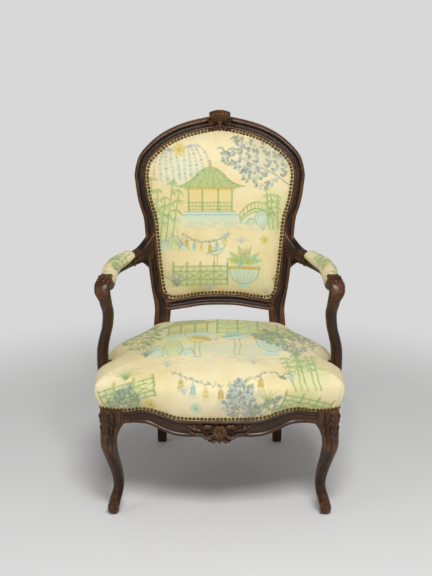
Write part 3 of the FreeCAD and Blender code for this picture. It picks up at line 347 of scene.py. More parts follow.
def skin(name, solids, slot="show_wood", cad_node=None, crease=38):
    """One piece from one or more rows of closed sections, in place of its plain node."""
    verts, faces, first = [], [], 0
    for rings in solids:
        rings = np.asarray(rings, float)
        rows, columns = rings.shape[:2]
        verts.append(rings.reshape(-1, 3))
        cap = np.arange(first, first + columns)
        faces += ring_faces(rows, columns, first) + [cap[::-1].tolist(), (cap + (rows - 1) * columns).tolist()]
        first += rows * columns
    piece = finish_mesh(name, np.concatenate(verts), faces, crease)
    if cad_node:
        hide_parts(cad_node)
    if slot == "show_wood":
        wood_pieces.append(piece)
    return piece


def on_both_sides(name, solids, cad_node=None, slot="show_wood"):
    """The right-hand piece and its mirror image, each in place of its plain node."""
    return [skin("%s_%s" % (name, side), [np.asarray(s, float) * (flip, 1, 1) for s in solids], slot,
                 cad_node and "%s_%s" % (cad_node, side)) for side, flip in SIDES]


# %% [markdown]
# ## Front legs
# A cabriole leg is sawn from a square block in two directions and then shaped with a rasp:
# a strong knee, a slim ankle and a small scroll foot. A bead runs down its inner front edge
# from the apron's lip to the foot. The section is drawn with that bead and the sections are
# stacked up the leg's bowed line.

# %% Cabriole front legs
def leg_section(x, y, width, depth, z, corner, skew=0.0, bead=1.0, soft=0.0):
    across = [
        (-0.5, -0.5 + corner), (-0.5 + corner, -0.5), (0.1, -0.5), (0.5 - 2 * corner, -0.5),
        (0.5, -0.5 + 2 * corner), (0.5, -0.1), (0.5, 0.12), (0.465, 0.30), (0.38, 0.43),
        (0.26, 0.50), (0.13, 0.53), (0.06, 0.47), (0.01, 0.43), (-0.10, 0.425), (-0.22, 0.43),
        (-0.27, 0.45), (-0.30, 0.50 + 0.02 * bead), (-0.38, 0.52 + 0.035 * bead),
        (-0.47, 0.51 + 0.02 * bead), (-0.51, 0.44), (-0.5, 0.28), (-0.5, 0.0),
    ]
    across = softened(rounded(across), soft)
    return [(x + a * width, y - b * depth - skew * (0.5 - a) * width, z) for a, b in across]


KNEE, ANKLE, TOE, KNEE_HIGH = 44, 27, 30, 243
ANKLE_X, ANKLE_Y = 259, 13
BLOCK_X = FRONT_HALF - KNEE / 2
BLOCK_Y = front_face(BLOCK_X) + KNEE / 2 - 1.5
# each section from the floor up: the foot's own sizes, then shares of the way from ankle to block
leg_rings = [
    leg_section(271, 5, TOE * 0.50, TOE * 0.58, 0, 0.16, 0, 0, 0.9),
    leg_section(271.5, 4, TOE * 0.76, TOE * 0.84, 3, 0.16, 0, 0, 0.8),
    leg_section(272, 3, TOE * 0.94, TOE * 1.02, 9, 0.16, 0, 0, 0.7),
    leg_section(271.5, 3, TOE * 0.98, TOE * 1.04, 19, 0.15, 0, 0.4, 0.4),
    leg_section(266, 7, 28.8, 27.8, 0.17 * KNEE_HIGH, 0.13),
    leg_section(ANKLE_X, 12, ANKLE, ANKLE, 0.27 * KNEE_HIGH, 0.13),
    leg_section(258.5, ANKLE_Y, 27.6, 28, 0.37 * KNEE_HIGH, 0.12, 0.02),
]
for sx, sy, wide, deep, high, corner, skew in (
        (0.22, 0.35, 0.23, 0.25, 0.50, 0.11, 0.06), (0.66, 0.80, 0.44, 0.55, 0.64, 0.09, 0.12),
        (1.04, 1.25, 0.78, 0.85, 0.78, 0.06, 0.18), (1.06, 1.15, 0.93, 1, 0.90, 0.04, 0.22),
        (1, 1, 1, 1, 1, 0.03, 0.25), (1, 1, 1, 1, 296 / KNEE_HIGH, 0.03, 0.25)):
    leg_rings.append(leg_section(mix(ANKLE_X, BLOCK_X, sx), mix(ANKLE_Y, BLOCK_Y, sy), mix(ANKLE, KNEE, wide),
                                 mix(ANKLE, KNEE, deep), high * KNEE_HIGH, corner, skew))


def sprung(rings, low, high, reach):
    """The leg with its inner sides swept out under the rails, as a bracket cut from the same block."""
    made = np.array(rings, float)
    for ring in made:
        rise = min(max((ring[0, 2] - low) / (high - low), 0), 1)
        grow = reach * (1 - math.sqrt(1 - (0.985 * rise) ** 2)) / 0.83
        middle = ring.mean(0)
        half = np.ptp(ring, axis=0)[:2] / 2
        inner = np.clip((middle[0] - ring[:, 0]) / half[0], 0, 1)
        rear = np.clip((ring[:, 1] - middle[1]) / half[1], 0, 1)
        ring[:, 0] -= grow * inner ** 1.5
        ring[:, 1] += 0.85 * grow * rear ** 1.5 + 3.0 * rise * (inner > 0.8) * (rear < 0.1)
    return made


leg_skin = sprung(between(leg_rings, 6), 206, 254, 17)
on_both_sides("cabriole_leg", [leg_skin], "front_leg")

# %% [markdown]
# ## Back legs, crest and lower rail
# The back is one moulded frame: a bead beside the cloth, a cove and a rounded outer ridge.
# The stile and the back leg are one piece of wood, plain below the seat. The profile is the
# same for stiles, crest and lower rail, so that the mouldings meet at the joints.

# %% The back frame's profile
STILE_WIDE, STILE_THICK, LEDGE = 44, 30, 15
HALF_STILE = STILE_WIDE / 2


def frame_profile(width, thick, ledge, moulding):
    """Section from the cloth outwards: ledge, bead, cove, ridge, rounded edge."""
    half = width / 2
    start = mix(4, LEDGE, ledge)
    cut = 5 * ledge
    rest = width - start
    relief = [(0.02, 0.6), (0.035, -0.8), (0.08, -2.2), (0.14, -2.4), (0.19, -1.4), (0.21, 0.5),
              (0.24, 1.2), (0.32, 2.4), (0.42, 4.3), (0.52, 4.3), (0.61, 2.4), (0.65, 1.0),
              (0.675, -0.6), (0.73, -2.0), (0.81, -2.4), (0.89, -1.8), (0.95, 0.2), (0.99, 2.8)]
    points = [(-half, thick - 5), (-half, mix(4, cut + 0.5, ledge)), (-half + start * 0.6, cut),
              (-half + start, cut)]
    points += [(-half + start + share * rest, depth * moulding) for share, depth in relief]
    points += [(half, 6), (half, thick * 0.5), (half, thick - 8), (half - 2, thick - 2.5),
               (half - 8, thick), (0, thick), (-half + 8, thick), (-half + 2, thick - 1.5)]
    return rounded(points, 1)


FULL_PROFILE = frame_profile(STILE_WIDE, STILE_THICK, 1, 1)


def frame_section(x, z, nx, nz, profile=FULL_PROFILE):
    """The profile square to the back's outline at x, z, seated on its hollow face."""
    px = x + profile[:, 0] * nx
    pz = z + profile[:, 0] * nz
    return np.stack([px, back_face(px, pz) + profile[:, 1], pz], 1)


def block_section(x, y, width, depth, z):
    """Plain section of the back leg with as many points as the moulded one."""
    profile = frame_profile(width, depth, 0, 0)
    return np.stack([x + profile[:, 0], SEAT_DEPTH + y - depth / 2 + profile[:, 1], np.full(len(profile), z)], 1)


# %% Back legs with their stiles
BLOCK_MID, BLOCK_WIDE, LOW, REAR_FOOT_X = BACK_HALF - 21, 42, 238, 166
JOINT_Z = 802
low_rings = [
    block_section(REAR_FOOT_X, 64, 24.3, 24.3, 0),
    block_section(REAR_FOOT_X, 59, 27, 28.4, 0.09 * LOW),
    block_section(mix(REAR_FOOT_X, BLOCK_MID, 0.3), 38.4, 27, 29.2, 0.36 * LOW),
    block_section(mix(REAR_FOOT_X, BLOCK_MID, 0.7), 12.8, 33, 34.5, 0.70 * LOW),
]
high_rings = [
    block_section(BLOCK_MID, 0.5, BLOCK_WIDE, BLOCK_WIDE + 2, LOW),
    block_section(BLOCK_MID, 0, BLOCK_WIDE, BLOCK_WIDE + 2, RAIL_TOP),
]
JOINT_X = BACK_WIDE * follow([(sz, sx) for sx, sz in CREST], (JOINT_Z - STILE_HIGH) / ARCH)
for z in (380, 410, STILE_LOW, 445, 476, 512, 562, 620, 669, 702, 734, 766, STILE_HIGH, JOINT_Z):
    share = (z - STILE_LOW) / (STILE_HIGH - STILE_LOW)
    outside = stile_outside(z) if z < STILE_HIGH else mix(BACK_WIDE, JOINT_X, (z - STILE_HIGH) / (JOINT_Z - STILE_HIGH))
    profile = frame_profile(STILE_WIDE, mix(33, STILE_THICK, np.clip(share + 0.5, 0, 1)),
                            np.clip((share - 0.03) / 0.1, 0, 1), np.clip((share + 0.25) / 0.2, 0, 1))
    high_rings.append(frame_section(outside - HALF_STILE, z, 1, 0, profile))
post = np.concatenate([between(low_rings + high_rings[:1], 6)[:-1], between(high_rings, 5)])
back_posts = on_both_sides("back_post", [post], "back_leg")


# %% Crest rail
def through(points, count):
    """Evenly spaced points on a natural spline through the given ones."""
    points = np.asarray(points, float)
    step = np.r_[0, np.cumsum(np.linalg.norm(np.diff(points, axis=0), axis=1))]
    n = len(points)
    h = np.diff(step)
    system = np.eye(n)
    right = np.zeros((n, points.shape[1]))
    for i in range(1, n - 1):
        system[i, i - 1:i + 2] = h[i - 1], 2 * (h[i - 1] + h[i]), h[i]
        right[i] = 6 * ((points[i + 1] - points[i]) / h[i] - (points[i] - points[i - 1]) / h[i - 1])
    bend = np.linalg.solve(system, right)
    at = np.linspace(0, step[-1], count)
    i = np.clip(np.searchsorted(step, at, side="right") - 1, 0, n - 2)
    a = (step[i + 1] - at)[:, None]
    b = (at - step[i])[:, None]
    w = h[i][:, None]
    return ((bend[i] * a**3 + bend[i + 1] * b**3) / (6 * w)
            + (points[i] / w - bend[i] * w / 6) * a + (points[i + 1] / w - bend[i + 1] * w / 6) * b)


crest_half = [(JOINT_X, JOINT_Z)] + [(x, z) for x, z in crest_points() if z > JOINT_Z + 6]
crest_line = through(crest_half + flipped(crest_half[:-1]), 121)
CREST_LAST = len(crest_line) - 1
crest_rings = []
for i, (x, z) in enumerate(crest_line):
    ahead = crest_line[min(i + 1, CREST_LAST)] - crest_line[max(i - 1, 0)]
    nx, nz = np.array((ahead[1], -ahead[0])) / math.hypot(*ahead)
    if i in (0, CREST_LAST):
        nx, nz = (1, 0) if x > 0 else (-1, 0)
    crest_rings.append(frame_section(x - nx * HALF_STILE, z - nz * HALF_STILE, nx, nz))
skin("crest_moulding", [crest_rings], cad_node="crest_rail")

# %% Lower rail of the back
rail_rings = []
for x in np.linspace(-150, 150, 61):
    tilt = math.atan2(low_rail_middle(x + 1) - low_rail_middle(x - 1), 2)
    rail_rings.append(frame_section(x, low_rail_middle(x), math.sin(tilt), -math.cos(tilt)))
skin("lower_back_moulding", [rail_rings], cad_node="lower_back_rail")

# %% [markdown]
# ## Seat rails
# The front rail is sawn to a serpentine apron. Its lower edge has a lip, its field is cut
# back a little, and a bead runs just under the nails. The side rails carry the same lip and
# swell out where the arm supports stand on them.

# %% Front rail with its lip, field and bead
def rail_section(x):
    low, nails, face = apron_low(x), nail_line(x), front_face(x)
    tall = nails - low
    lip = min(9, 0.3 * tall)
    outline = [(28, low + 3), (25, low), (6, low), (1, low + 0.5), (-1.2, low + 2), (-1.8, low + 0.5 * lip),
               (-0.8, low + 0.85 * lip), (1.6, low + lip + 1), (2.2, low + lip + 3), (1.6, low + 0.5 * tall),
               (2.2, nails - 11), (1.4, nails - 9), (-0.6, nails - 8), (-1.2, nails - 5.5), (-0.6, nails - 3),
               (1.2, nails - 2), (1.5, nails), (4, nails + 2), (4.2, RAIL_TOP - 1), (6, RAIL_TOP), (26, RAIL_TOP),
               (28, RAIL_TOP - 2)]
    return [(x, face + y, z) for y, z in rounded(outline)]


skin("front_rail_moulded", [[rail_section(x) for x in np.linspace(-262, 262, 175)]], cad_node="front_rail")

# %% Side rails with the swelling under the arm support
SUPPORT_BACK = 157
SUPPORT_X = float(side_face(SUPPORT_BACK)) + 5


def side_section(y):
    face = float(side_face(y))
    near = np.clip(1 - (abs(y - SUPPORT_BACK) - 18) / 16, 0, 1)
    swell = near * near * (3 - 2 * near) * (SUPPORT_X + 14 - face)
    outline = [(-27, 247, 0), (-24, 246, 0), (-5, 246, 0), (0, 247.5, 0), (1.2, 250.5, 0), (0.8, 254, 0),
               (-1.6, 256, 0), (-2, 259, 0), (-1, 267, 0.25), (-0.6, 280, 0.65), (-0.2, 288, 0.9), (0.6, 291, 0.97),
               (0.8, 295, 1), (0.2, 298.5, 1), (-2, SIDE_NAILS, 1), (-4, 300.5, 0), (-4.2, RAIL_TOP - 1, 0),
               (-6, RAIL_TOP, 0), (-25, RAIL_TOP, 0), (-27, RAIL_TOP - 2, 0)]
    return [(face + x, y, z) for x, z in rounded([(out + swell * share, z) for out, z, share in outline])]


on_both_sides("side_rail_moulded", [[side_section(y) for y in np.linspace(14, 400, 130)]], "side_rail")

# %% [markdown]
# ## Arms and their supports
# The arm leaves the stile as a wide root, thins out, and ends in a knuckle over the support.
# The support sweeps back and up from the side rail. Both are bowed two ways, so their
# sections are set square to the line that they follow.

# %% Arm line
ROOT_Z = 573
ROOT_X = float(stile_outside(ROOT_Z))
ROOT = Vector((ROOT_X - 3, float(back_face(ROOT_X, ROOT_Z)) + 13, ROOT_Z))
ELBOW = Vector((295, 116, 572))
SUPPORT_TOP = Vector((291, 101, 545))
ARM_TALL, ARM_WIDE, KNUCKLE = 22, 31, 38 / 31
# shares of the way in X and in Y, rise, height and width shares
ARM = [(0.16, 0.04, -1, 2.30, 0.97), (0.33, 0.10, -5, 1.76, 0.97), (0.50, 0.18, -8, 1.48, 0.98),
       (0.69, 0.30, -11, 1.12, 1), (0.85, 0.44, -11, 1, 1.03), (0.91, 0.62, -10, 1, 1.04),
       (0.905, 0.79, -9, 1, 1.05), (0.91, 0.90, -7, 1.1, 1.06), (0.945, 0.955, 2, 1.6, 1.12)]


def arm_frames():
    """Middle, sideways and upward directions, height and width at each station of the arm."""
    path = [(ROOT + Vector((-12, 8, 0)), 5.4, 0.92)]
    path += [(Vector((mix(ROOT.x, ELBOW.x, sx), mix(ROOT.y, ELBOW.y, sy), mix(ROOT.z, ELBOW.z, sy) + rise)), tall, wide)
             for sx, sy, rise, tall, wide in ARM]
    path += [(ELBOW + Vector((1.5, 0, 0)), 1.45, 1.08 * KNUCKLE),
             (ELBOW + Vector((1, -9, -15)), 1.46, 1.06 * KNUCKLE),
             (SUPPORT_TOP + Vector((-2, 3, -9)), 1.25, 0.98)]
    frames, last = [], len(path) - 1
    for i, (point, tall, wide) in enumerate(path):
        along = path[min(i + 1, last)][0] - path[max(i - 1, 0)][0] if i < last else Vector((0, 0, -1))
        along.normalize()
        flat = Vector((along.x, along.y, 0))
        if flat.length < 0.6:
            flat = Vector((0, -1, 0))
        side = flat.cross(Vector((0, 0, 1))) * -1
        side.normalize()
        side = side if side.x > 0 else side * -1
        up = along.cross(side)
        up.normalize()
        frames.append((point, side, up, tall * ARM_TALL, wide * ARM_WIDE))
    return frames


def arm_section(point, side, up, h, w, soft):
    left = [(-0.5 * w, -0.14 * h), (-0.49 * w, 0.08 * h), (-0.47 * w, 0.16 * h), (-0.5 * w, 0.24 * h),
            (-0.5 * w, 0.5 * h - 6), (-0.47 * w, 0.5 * h - 2), (-0.5 * w + 5, 0.5 * h)]
    below = [(0.42 * w, -0.30 * h), (0.3 * w, -0.43 * h), (0.06 * w, -0.5 * h)]
    outline = left + [(0, 0.5 * h + 0.6)] + flipped(left) + below + flipped(below)
    return [tuple(point + side * a + up * b) for a, b in softened(rounded(outline), soft)]


frames = arm_frames()
KNUCKLE_SOFT = [0] * (len(frames) - 3) + [0.45, 0.8, 0.95]
arm_rings = between([arm_section(*f, soft) for f, soft in zip(frames, KNUCKLE_SOFT)], 7)
on_both_sides("arm_moulded", [arm_rings], "arm")

# %% Arm supports
# share of the way down, shifts in X and Y, width and depth shares
SUPPORT = [(-0.04, -1, 6, 0.98, 0.86), (0, -1, 3, 1.10, 0.94), (0.08, -4, 5, 1.07, 0.97), (0.19, -8, 15, 1, 0.95),
           (0.36, -5, 26, 0.97, 0.96), (0.50, 2, 31, 1, 1), (0.63, 7, 28, 1.02, 1.04), (0.80, 6, 15, 1.02, 1.2),
           (0.93, 2, 4, 1, 1.5), (1, 0, 0, 0.96, 1.62)]


def support_section(s, dx, dy, wide, deep):
    x = mix(SUPPORT_TOP.x, SUPPORT_X, s) + dx
    y = mix(SUPPORT_TOP.y, SUPPORT_BACK, s) + dy
    z = mix(SUPPORT_TOP.z, SIDE_NAILS, s)
    left = [(-0.5, 0.28), (-0.5, 0.05), (-0.5, -0.2), (-0.43, -0.33), (-0.33, -0.41), (-0.22, -0.42), (-0.12, -0.5)]
    rear = [(0.42, 0.41), (0.3, 0.5)]
    outline = rounded(left + [(0, -0.53)] + flipped(left) + rear + [(0, 0.5)] + flipped(rear))
    outline = softened(outline, 0.85 * min(max(1 - s / 0.28, 0), 1))
    return [(x + a * wide * 29, y + b * deep * 33, z) for a, b in outline]


support_rings = between([support_section(*row) for row in SUPPORT], 9)
on_both_sides("arm_support_moulded", [support_rings], "arm_support")

# %% [markdown]
# ## The seat's cover
# The seat is stuffed with hair over webbing and pulled tight, so it has a boxed edge with a
# rounded turn and a low crown. The cover is modelled as the stretched skin that it is: rings
# around the seat, from the nail line up the sides and over to the middle. A pressure
# simulation would round the edge away, so the form comes from the upholsterer's own lines.
# The rings are about 2 mm apart, because the printed pattern is kept on them.

# %% The seat's outline in plan
def closed_line(points, count, ease):
    """Evenly spaced points on a closed outline, with its corners eased over a few points."""
    points = np.asarray(points, float)
    points = np.concatenate([points, points[:1]])
    step = np.r_[0, np.cumsum(np.linalg.norm(np.diff(points, axis=0), axis=1))]
    at = np.linspace(0, step[-1], count, endpoint=False)
    line = np.stack([np.interp(at, step, points[:, k]) for k in range(points.shape[1])], 1)
    window = np.hanning(2 * ease + 3)[1:-1]
    window /= window.sum()
    padded = np.concatenate([line[-ease:], line, line[:ease]])
    return np.stack([np.convolve(padded[:, k], window, "valid") for k in range(line.shape[1])], 1)


plan_half = [(x, front_face(x)) for x in np.linspace(0, FRONT_HALF - 3, 40)] + [(FRONT_HALF - 0.5, -14)]
plan_half += [(float(side_face(y)), y) for y in np.linspace(-10, 0.97 * SEAT_DEPTH, 60)]
plan_half += [(BACK_HALF - 2, 415), (0.9 * BACK_HALF, 421), (0, 421)]
SEAT_COLUMNS = 880
plan = closed_line(plan_half + flipped(plan_half[1:-1]), SEAT_COLUMNS, 4)
plan_wide = np.abs(plan[:, 0])
plan_out = np.roll(plan, -1, axis=0) - np.roll(plan, 1, axis=0)
plan_out = unit(np.stack([plan_out[:, 1], -plan_out[:, 0]], 1))
if (plan_out * (plan - (0, 200))).sum() < 0:
    plan_out = -plan_out
front_nails = nail_line(plan[:, 0])
cloth_foot = np.where(plan[:, 1] < -4, front_nails, float(SIDE_NAILS))
edge_blend = np.clip((plan[:, 1] + 26) / 40, 0, 1)
cloth_foot = np.where(plan_wide > RAIL_END, mix(front_nails, SIDE_NAILS, edge_blend), cloth_foot)
print("seat outline: %d points, %.1f mm apart" % (len(plan), np.linalg.norm(plan[1] - plan[0])))

# %% Rings of the seat's cover
EDGE, CROWN_Z, BULGE, SEAT_MID = 372, 422, 10, 0.49 * SEAT_DEPTH
BULGE_BY_SHARE = [(0, -0.02), (0.10, 0.10), (0.25, 0.42), (0.5, 0.88), (0.70, 1), (0.86, 0.82), (1, 0.0)]
RISE_BY_PULL = [(0, 0), (6, 0.10), (13, 0.20), (35, 0.40), (75, 0.62), (128, 0.82), (182, 0.95), (235, 1), (270, 1)]
ROUND_BY_PULL = [(0, 0), (13, 0.03), (35, 0.13), (75, 0.33), (128, 0.6), (182, 0.85), (235, 1), (270, 1)]


def seat_ring(z, out, rounding):
    """The outline grown by out, drawn towards a circle, at a height."""
    mean = 0.9 * FRONT_HALF
    away = plan - (0, SEAT_MID)
    reach = np.hypot(*away.T)
    even = (1 + out / mean) * mix(1, mean / reach, rounding)
    return np.column_stack([away[:, 0] * even, SEAT_MID + away[:, 1] * even, np.broadcast_to(z, reach.shape)])


rows, flat = [], []
drop_rows = np.linspace(0, 1, 36)
for share in drop_rows:
    height = mix(cloth_foot, EDGE, share)
    rows.append(seat_ring(height, BULGE * follow(BULGE_BY_SHARE, share), 0))
    flat.append(plan + plan_out * ((EDGE - height) * 1.03 + 4)[:, None])
for pull in np.r_[np.linspace(2, 250, 112), 258, 264]:
    height = mix(EDGE, CROWN_Z, follow(RISE_BY_PULL, pull))
    rows.append(seat_ring(height, -pull, follow(ROUND_BY_PULL, pull)))
    flat.append(rows[-1][:, :2])
rows, flat = np.array(rows), np.array(flat)
# the cloth dips between the nails and under the arm supports, and creases a little at the corners
along = np.arange(SEAT_COLUMNS) / SEAT_COLUMNS * 2 * math.pi
corner = np.exp(-((plan_wide - 293) / 16) ** 2 - ((plan[:, 1] + 16) / 20) ** 2)
for k, share in enumerate(drop_rows):
    pucker = 0.5 * math.exp(-share / 0.12) * np.sin(along * 213)
    fold = -1.6 * corner * np.sin((plan[:, 1] + plan_wide) * 0.33) * math.sin(math.pi * min(share * 1.1, 1))
    rows[k, :, :2] += plan_out * (pucker + fold)[:, None]
around_stand = np.exp(-((plan[:, 1] - SUPPORT_BACK) / 34) ** 2) * (plan_wide > 200)
deep = np.exp(-((rows[:, :, 2] - 345) / 60) ** 2)
rows[:, :, :2] -= plan_out * (7 * around_stand * deep)[:, :, None]
for hand in (-1, 1):
    for middle, wide, dent in (((hand * 300, SUPPORT_BACK + 8, 366), 34, (hand * 8, 0, 10)),
                               ((hand * 290, SUPPORT_BACK - 24, 382), 40, (hand * 3, 0, 13))):
        tuck = np.linalg.norm((rows - middle) * (1, 1, 0.8), axis=2)
        rows -= np.exp(-(tuck / wide) ** 2)[:, :, None] * dent
# the crown falls away a little towards the sides at the rear
fall = 0.34 * np.clip((rows[:, :, 0] / 210) ** 2, 0, 1) * np.clip((rows[:, :, 1] - 150) / 200, 0, 1)
rows[:, :, 2] -= np.clip(rows[:, :, 2] - EDGE, 0, None) * fall
# the cover is cut round the rear posts, so behind them it goes into the wood
POST_GRIP, POST_COVER = 2.5, 9
post = to_maker([v.co for v in back_posts[0].data.vertices])
post_box = []
for height in range(296, 437, 10):
    level = post[np.abs(post[:, 2] - height) < 9]
    post_box.append((height, level[:, 0].min(), level[:, 0].max(), level[:, 1].min(), level[:, 1].max()))
post_box = np.array(post_box).T
inner_x, outer_x, near_y, far_y = (np.interp(rows[:, :, 2], post_box[0], edge) for edge in post_box[1:])
x, y = rows[:, :, 0].copy(), rows[:, :, 1].copy()
cut = (np.abs(x) > inner_x + POST_GRIP) & (y > near_y + POST_GRIP)
rows[:, :, 0] = np.where(cut, np.sign(x) * np.minimum(np.abs(x), outer_x - POST_COVER), x)
rows[:, :, 1] = np.where(cut, np.minimum(y, far_y - POST_COVER), y)


# %% The seat cover's mesh
def cloth_skin(name, rows, extra_point):
    """Open rings joined to a dome: the last ring closes on one point."""
    count, columns = rows.shape[:2]
    verts = np.concatenate([rows.reshape(-1, 3), [extra_point]])
    top = (count - 1) * columns + np.arange(columns)
    fan = np.stack([top, np.roll(top, -1), np.full(columns, count * columns)], 1).tolist()
    return finish_mesh(name, verts, ring_faces(count, columns) + fan, 80)


seat = cloth_skin("seat_cloth", rows, (0, SEAT_MID, CROWN_Z))
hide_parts("seat_cover", "seat_stuffing")
seat_flat = np.concatenate([flat.reshape(-1, 2), [(0, SEAT_MID)]])
drop_points = np.repeat(drop_rows, SEAT_COLUMNS)
seat_down = np.r_[drop_points, np.ones(len(seat_flat) - len(drop_points))]

# %% [markdown]
# ## The back's panel, front and rear
# The back is a thin stuffed panel in the hollow frame: flat where it is nailed to the ledge,
# then swelling softly. Its outline runs parallel to the frame's. Behind, a plain cloth
# closes it. Both are rings shrunk towards the panel's middle.

# %% Outline of the panel
LOW_END = 138


def panel_outline(inset):
    """Edge of the cloth as (x, z), inset from where the frame's bead starts."""
    band = STILE_WIDE - LEDGE + inset
    floor_edge = HALF_STILE - LEDGE + inset
    corner_x = float(stile_outside(low_rail_middle(LOW_END) + 30)) - band
    half = [(share * corner_x, float(low_rail_middle(share * corner_x)) + floor_edge)
            for share in (0, 0.15, 0.3, 0.45, 0.6, 0.7, 0.82)]
    z_corner = float(low_rail_middle(LOW_END)) + floor_edge
    half.append((corner_x - 7, z_corner + 7))
    half += [(float(stile_outside(z)) - band, z) for z in np.linspace(z_corner + 24, STILE_HIGH, 24)]
    crest = through(crest_points() + [(-CREST[-2][0] * BACK_WIDE, STILE_HIGH + 0.975 * ARCH)], 46)
    for before, point, after in zip(crest[:-2], crest[1:-1], crest[2:]):
        run = np.linalg.norm(after - before)
        x = point[0] - band * (after[1] - before[1]) / run
        if 2 < x < half[-1][0]:
            half.append((x, point[1] + band * (after[0] - before[0]) / run))
    half.append((0, STILE_HIGH + ARCH - band))
    return half + [(-x, z) for x, z in reversed(half) if x > 0]


def back_rings(edge, shares, in_front):
    """Rings from the panel's edge to its middle, and how far in front of the hollow face each lies."""
    rings = []
    for share in shares:
        x, z = mix(edge, PANEL_MID, share).T
        rings.append(np.stack([x, back_face(x, z) - in_front(share), z], 1))
    return np.array(rings)


BACK_COLUMNS = 620
panel_edge = closed_line(panel_outline(0.3), BACK_COLUMNS, 4)
PANEL_MID = np.array((0.0, 690.0))
print("panel: %.0f mm wide, %.0f mm high" % tuple(np.ptp(panel_edge, axis=0)))

# %% The swelling front and the flat rear cloth
SWELL, LEDGE_DEEP = 15.5, 3.4
reach_in = np.linalg.norm(panel_edge - PANEL_MID, axis=1)
around = np.arange(BACK_COLUMNS) / BACK_COLUMNS * 2 * math.pi


def front_swell(share):
    inside = share * reach_in
    swell = SWELL * np.clip(1 - np.exp(-((np.clip(inside - 9, 0, None)) / 46) ** 1.15), 0, 1)
    return swell + 0.45 * np.exp(-inside / 6) * np.sin(around * 135) - LEDGE_DEEP


def rear_sink(share):
    return 1.2 * math.sin(math.pi * min(share * 1.2, 1)) ** 2 - STILE_THICK - 1.6


back_shares = np.linspace(0, 0.97, 108) ** 0.92
back_rows = back_rings(panel_edge, back_shares, front_swell)
back_middle = float(back_face(0, PANEL_MID[1]))
back_cloth = cloth_skin("back_cloth", back_rows,
                        (0, back_middle + LEDGE_DEEP - SWELL, PANEL_MID[1]))
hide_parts("back_cover_front", "back_stuffing")
back_print = np.concatenate([back_rows[:, :, (0, 2)].reshape(-1, 2), [PANEL_MID]])

rear_rows = back_rings(closed_line(panel_outline(7.3), 240, 3), np.linspace(0, 0.96, 26), rear_sink)
rear_cloth = cloth_skin("back_cloth_rear", rear_rows,
                        (0, back_middle + STILE_THICK + 1.4, PANEL_MID[1]))
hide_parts("back_cover_rear", "back_webbing")

# %% [markdown]
# ## Arm pads
# Each arm has a short pad in the same cloth, tied down in front behind the carved leaf and
# at the rear behind a carved lip. It is a row of domed sections along the arm's own line.

# %% Pads along the arm line
PAD_RINGS, PAD_LONG, PAD_WIDE, PAD_TALL = 120, 230, 44, 27
PAD_START, PAD_END = 3.0, 8.62   # stations of the arm


def arm_at(at):
    """The arm's middle, sideways and upward directions and its height, between two stations."""
    k = min(int(at), len(frames) - 2)
    t = at - k
    (p0, s0, u0, h0, _), (p1, s1, u1, h1, _) = frames[k], frames[k + 1]
    return p0.lerp(p1, t), s0.lerp(s1, t).normalized(), u0.lerp(u1, t).normalized(), mix(h0, h1, t)


pad_rings, pad_flat = [], []
for share in np.arange(PAD_RINGS) / (PAD_RINGS - 1):
    point, side, up, tall = arm_at(mix(PAD_START, PAD_END, share))
    full = math.sin(math.pi * mix(0.10, 0.90, share)) ** 0.5
    w, h = mix(0.76, 1, full) * PAD_WIDE, full * PAD_TALL
    left = [(-0.36 * w, -8), (-0.46 * w, -3), (-0.5 * w, 0.14 * h), (-0.46 * w, 0.5 * h), (-0.33 * w, 0.8 * h),
            (-0.14 * w, 0.97 * h)]
    outline = rounded(left + flipped(left) + [(0.12 * w, -8), (-0.12 * w, -8)])
    pad_rings.append([point + side * a + up * (0.5 * tall + b) for a, b in outline])
    steps = np.linalg.norm(np.diff(outline, axis=0, prepend=[outline[-1]]), axis=1)
    girth = np.cumsum(steps) - steps[0]
    pad_flat.append([(u - girth[len(girth) // 2 - 6], share * PAD_LONG) for u in girth])
pads = {}
for piece in on_both_sides("arm_cloth", [pad_rings], slot="printed_cloth"):
    side = piece.name.rsplit("_", 1)[1]
    pads[side] = piece
    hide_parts("arm_pad_" + side, "arm_pad_cover_" + side)
pad_print = np.array(pad_flat).reshape(-1, 2)

# %% [markdown]
# ## Close-set brass nails
# Round-headed nails stand edge to edge along the cloth. They repeat along a path, so a small
# Geometry Nodes tree sets them: it takes a path whose points know which way the surface
# faces, spaces points along it, puts a low dome on each and tilts it a little, as hammered
# nails are never quite true.

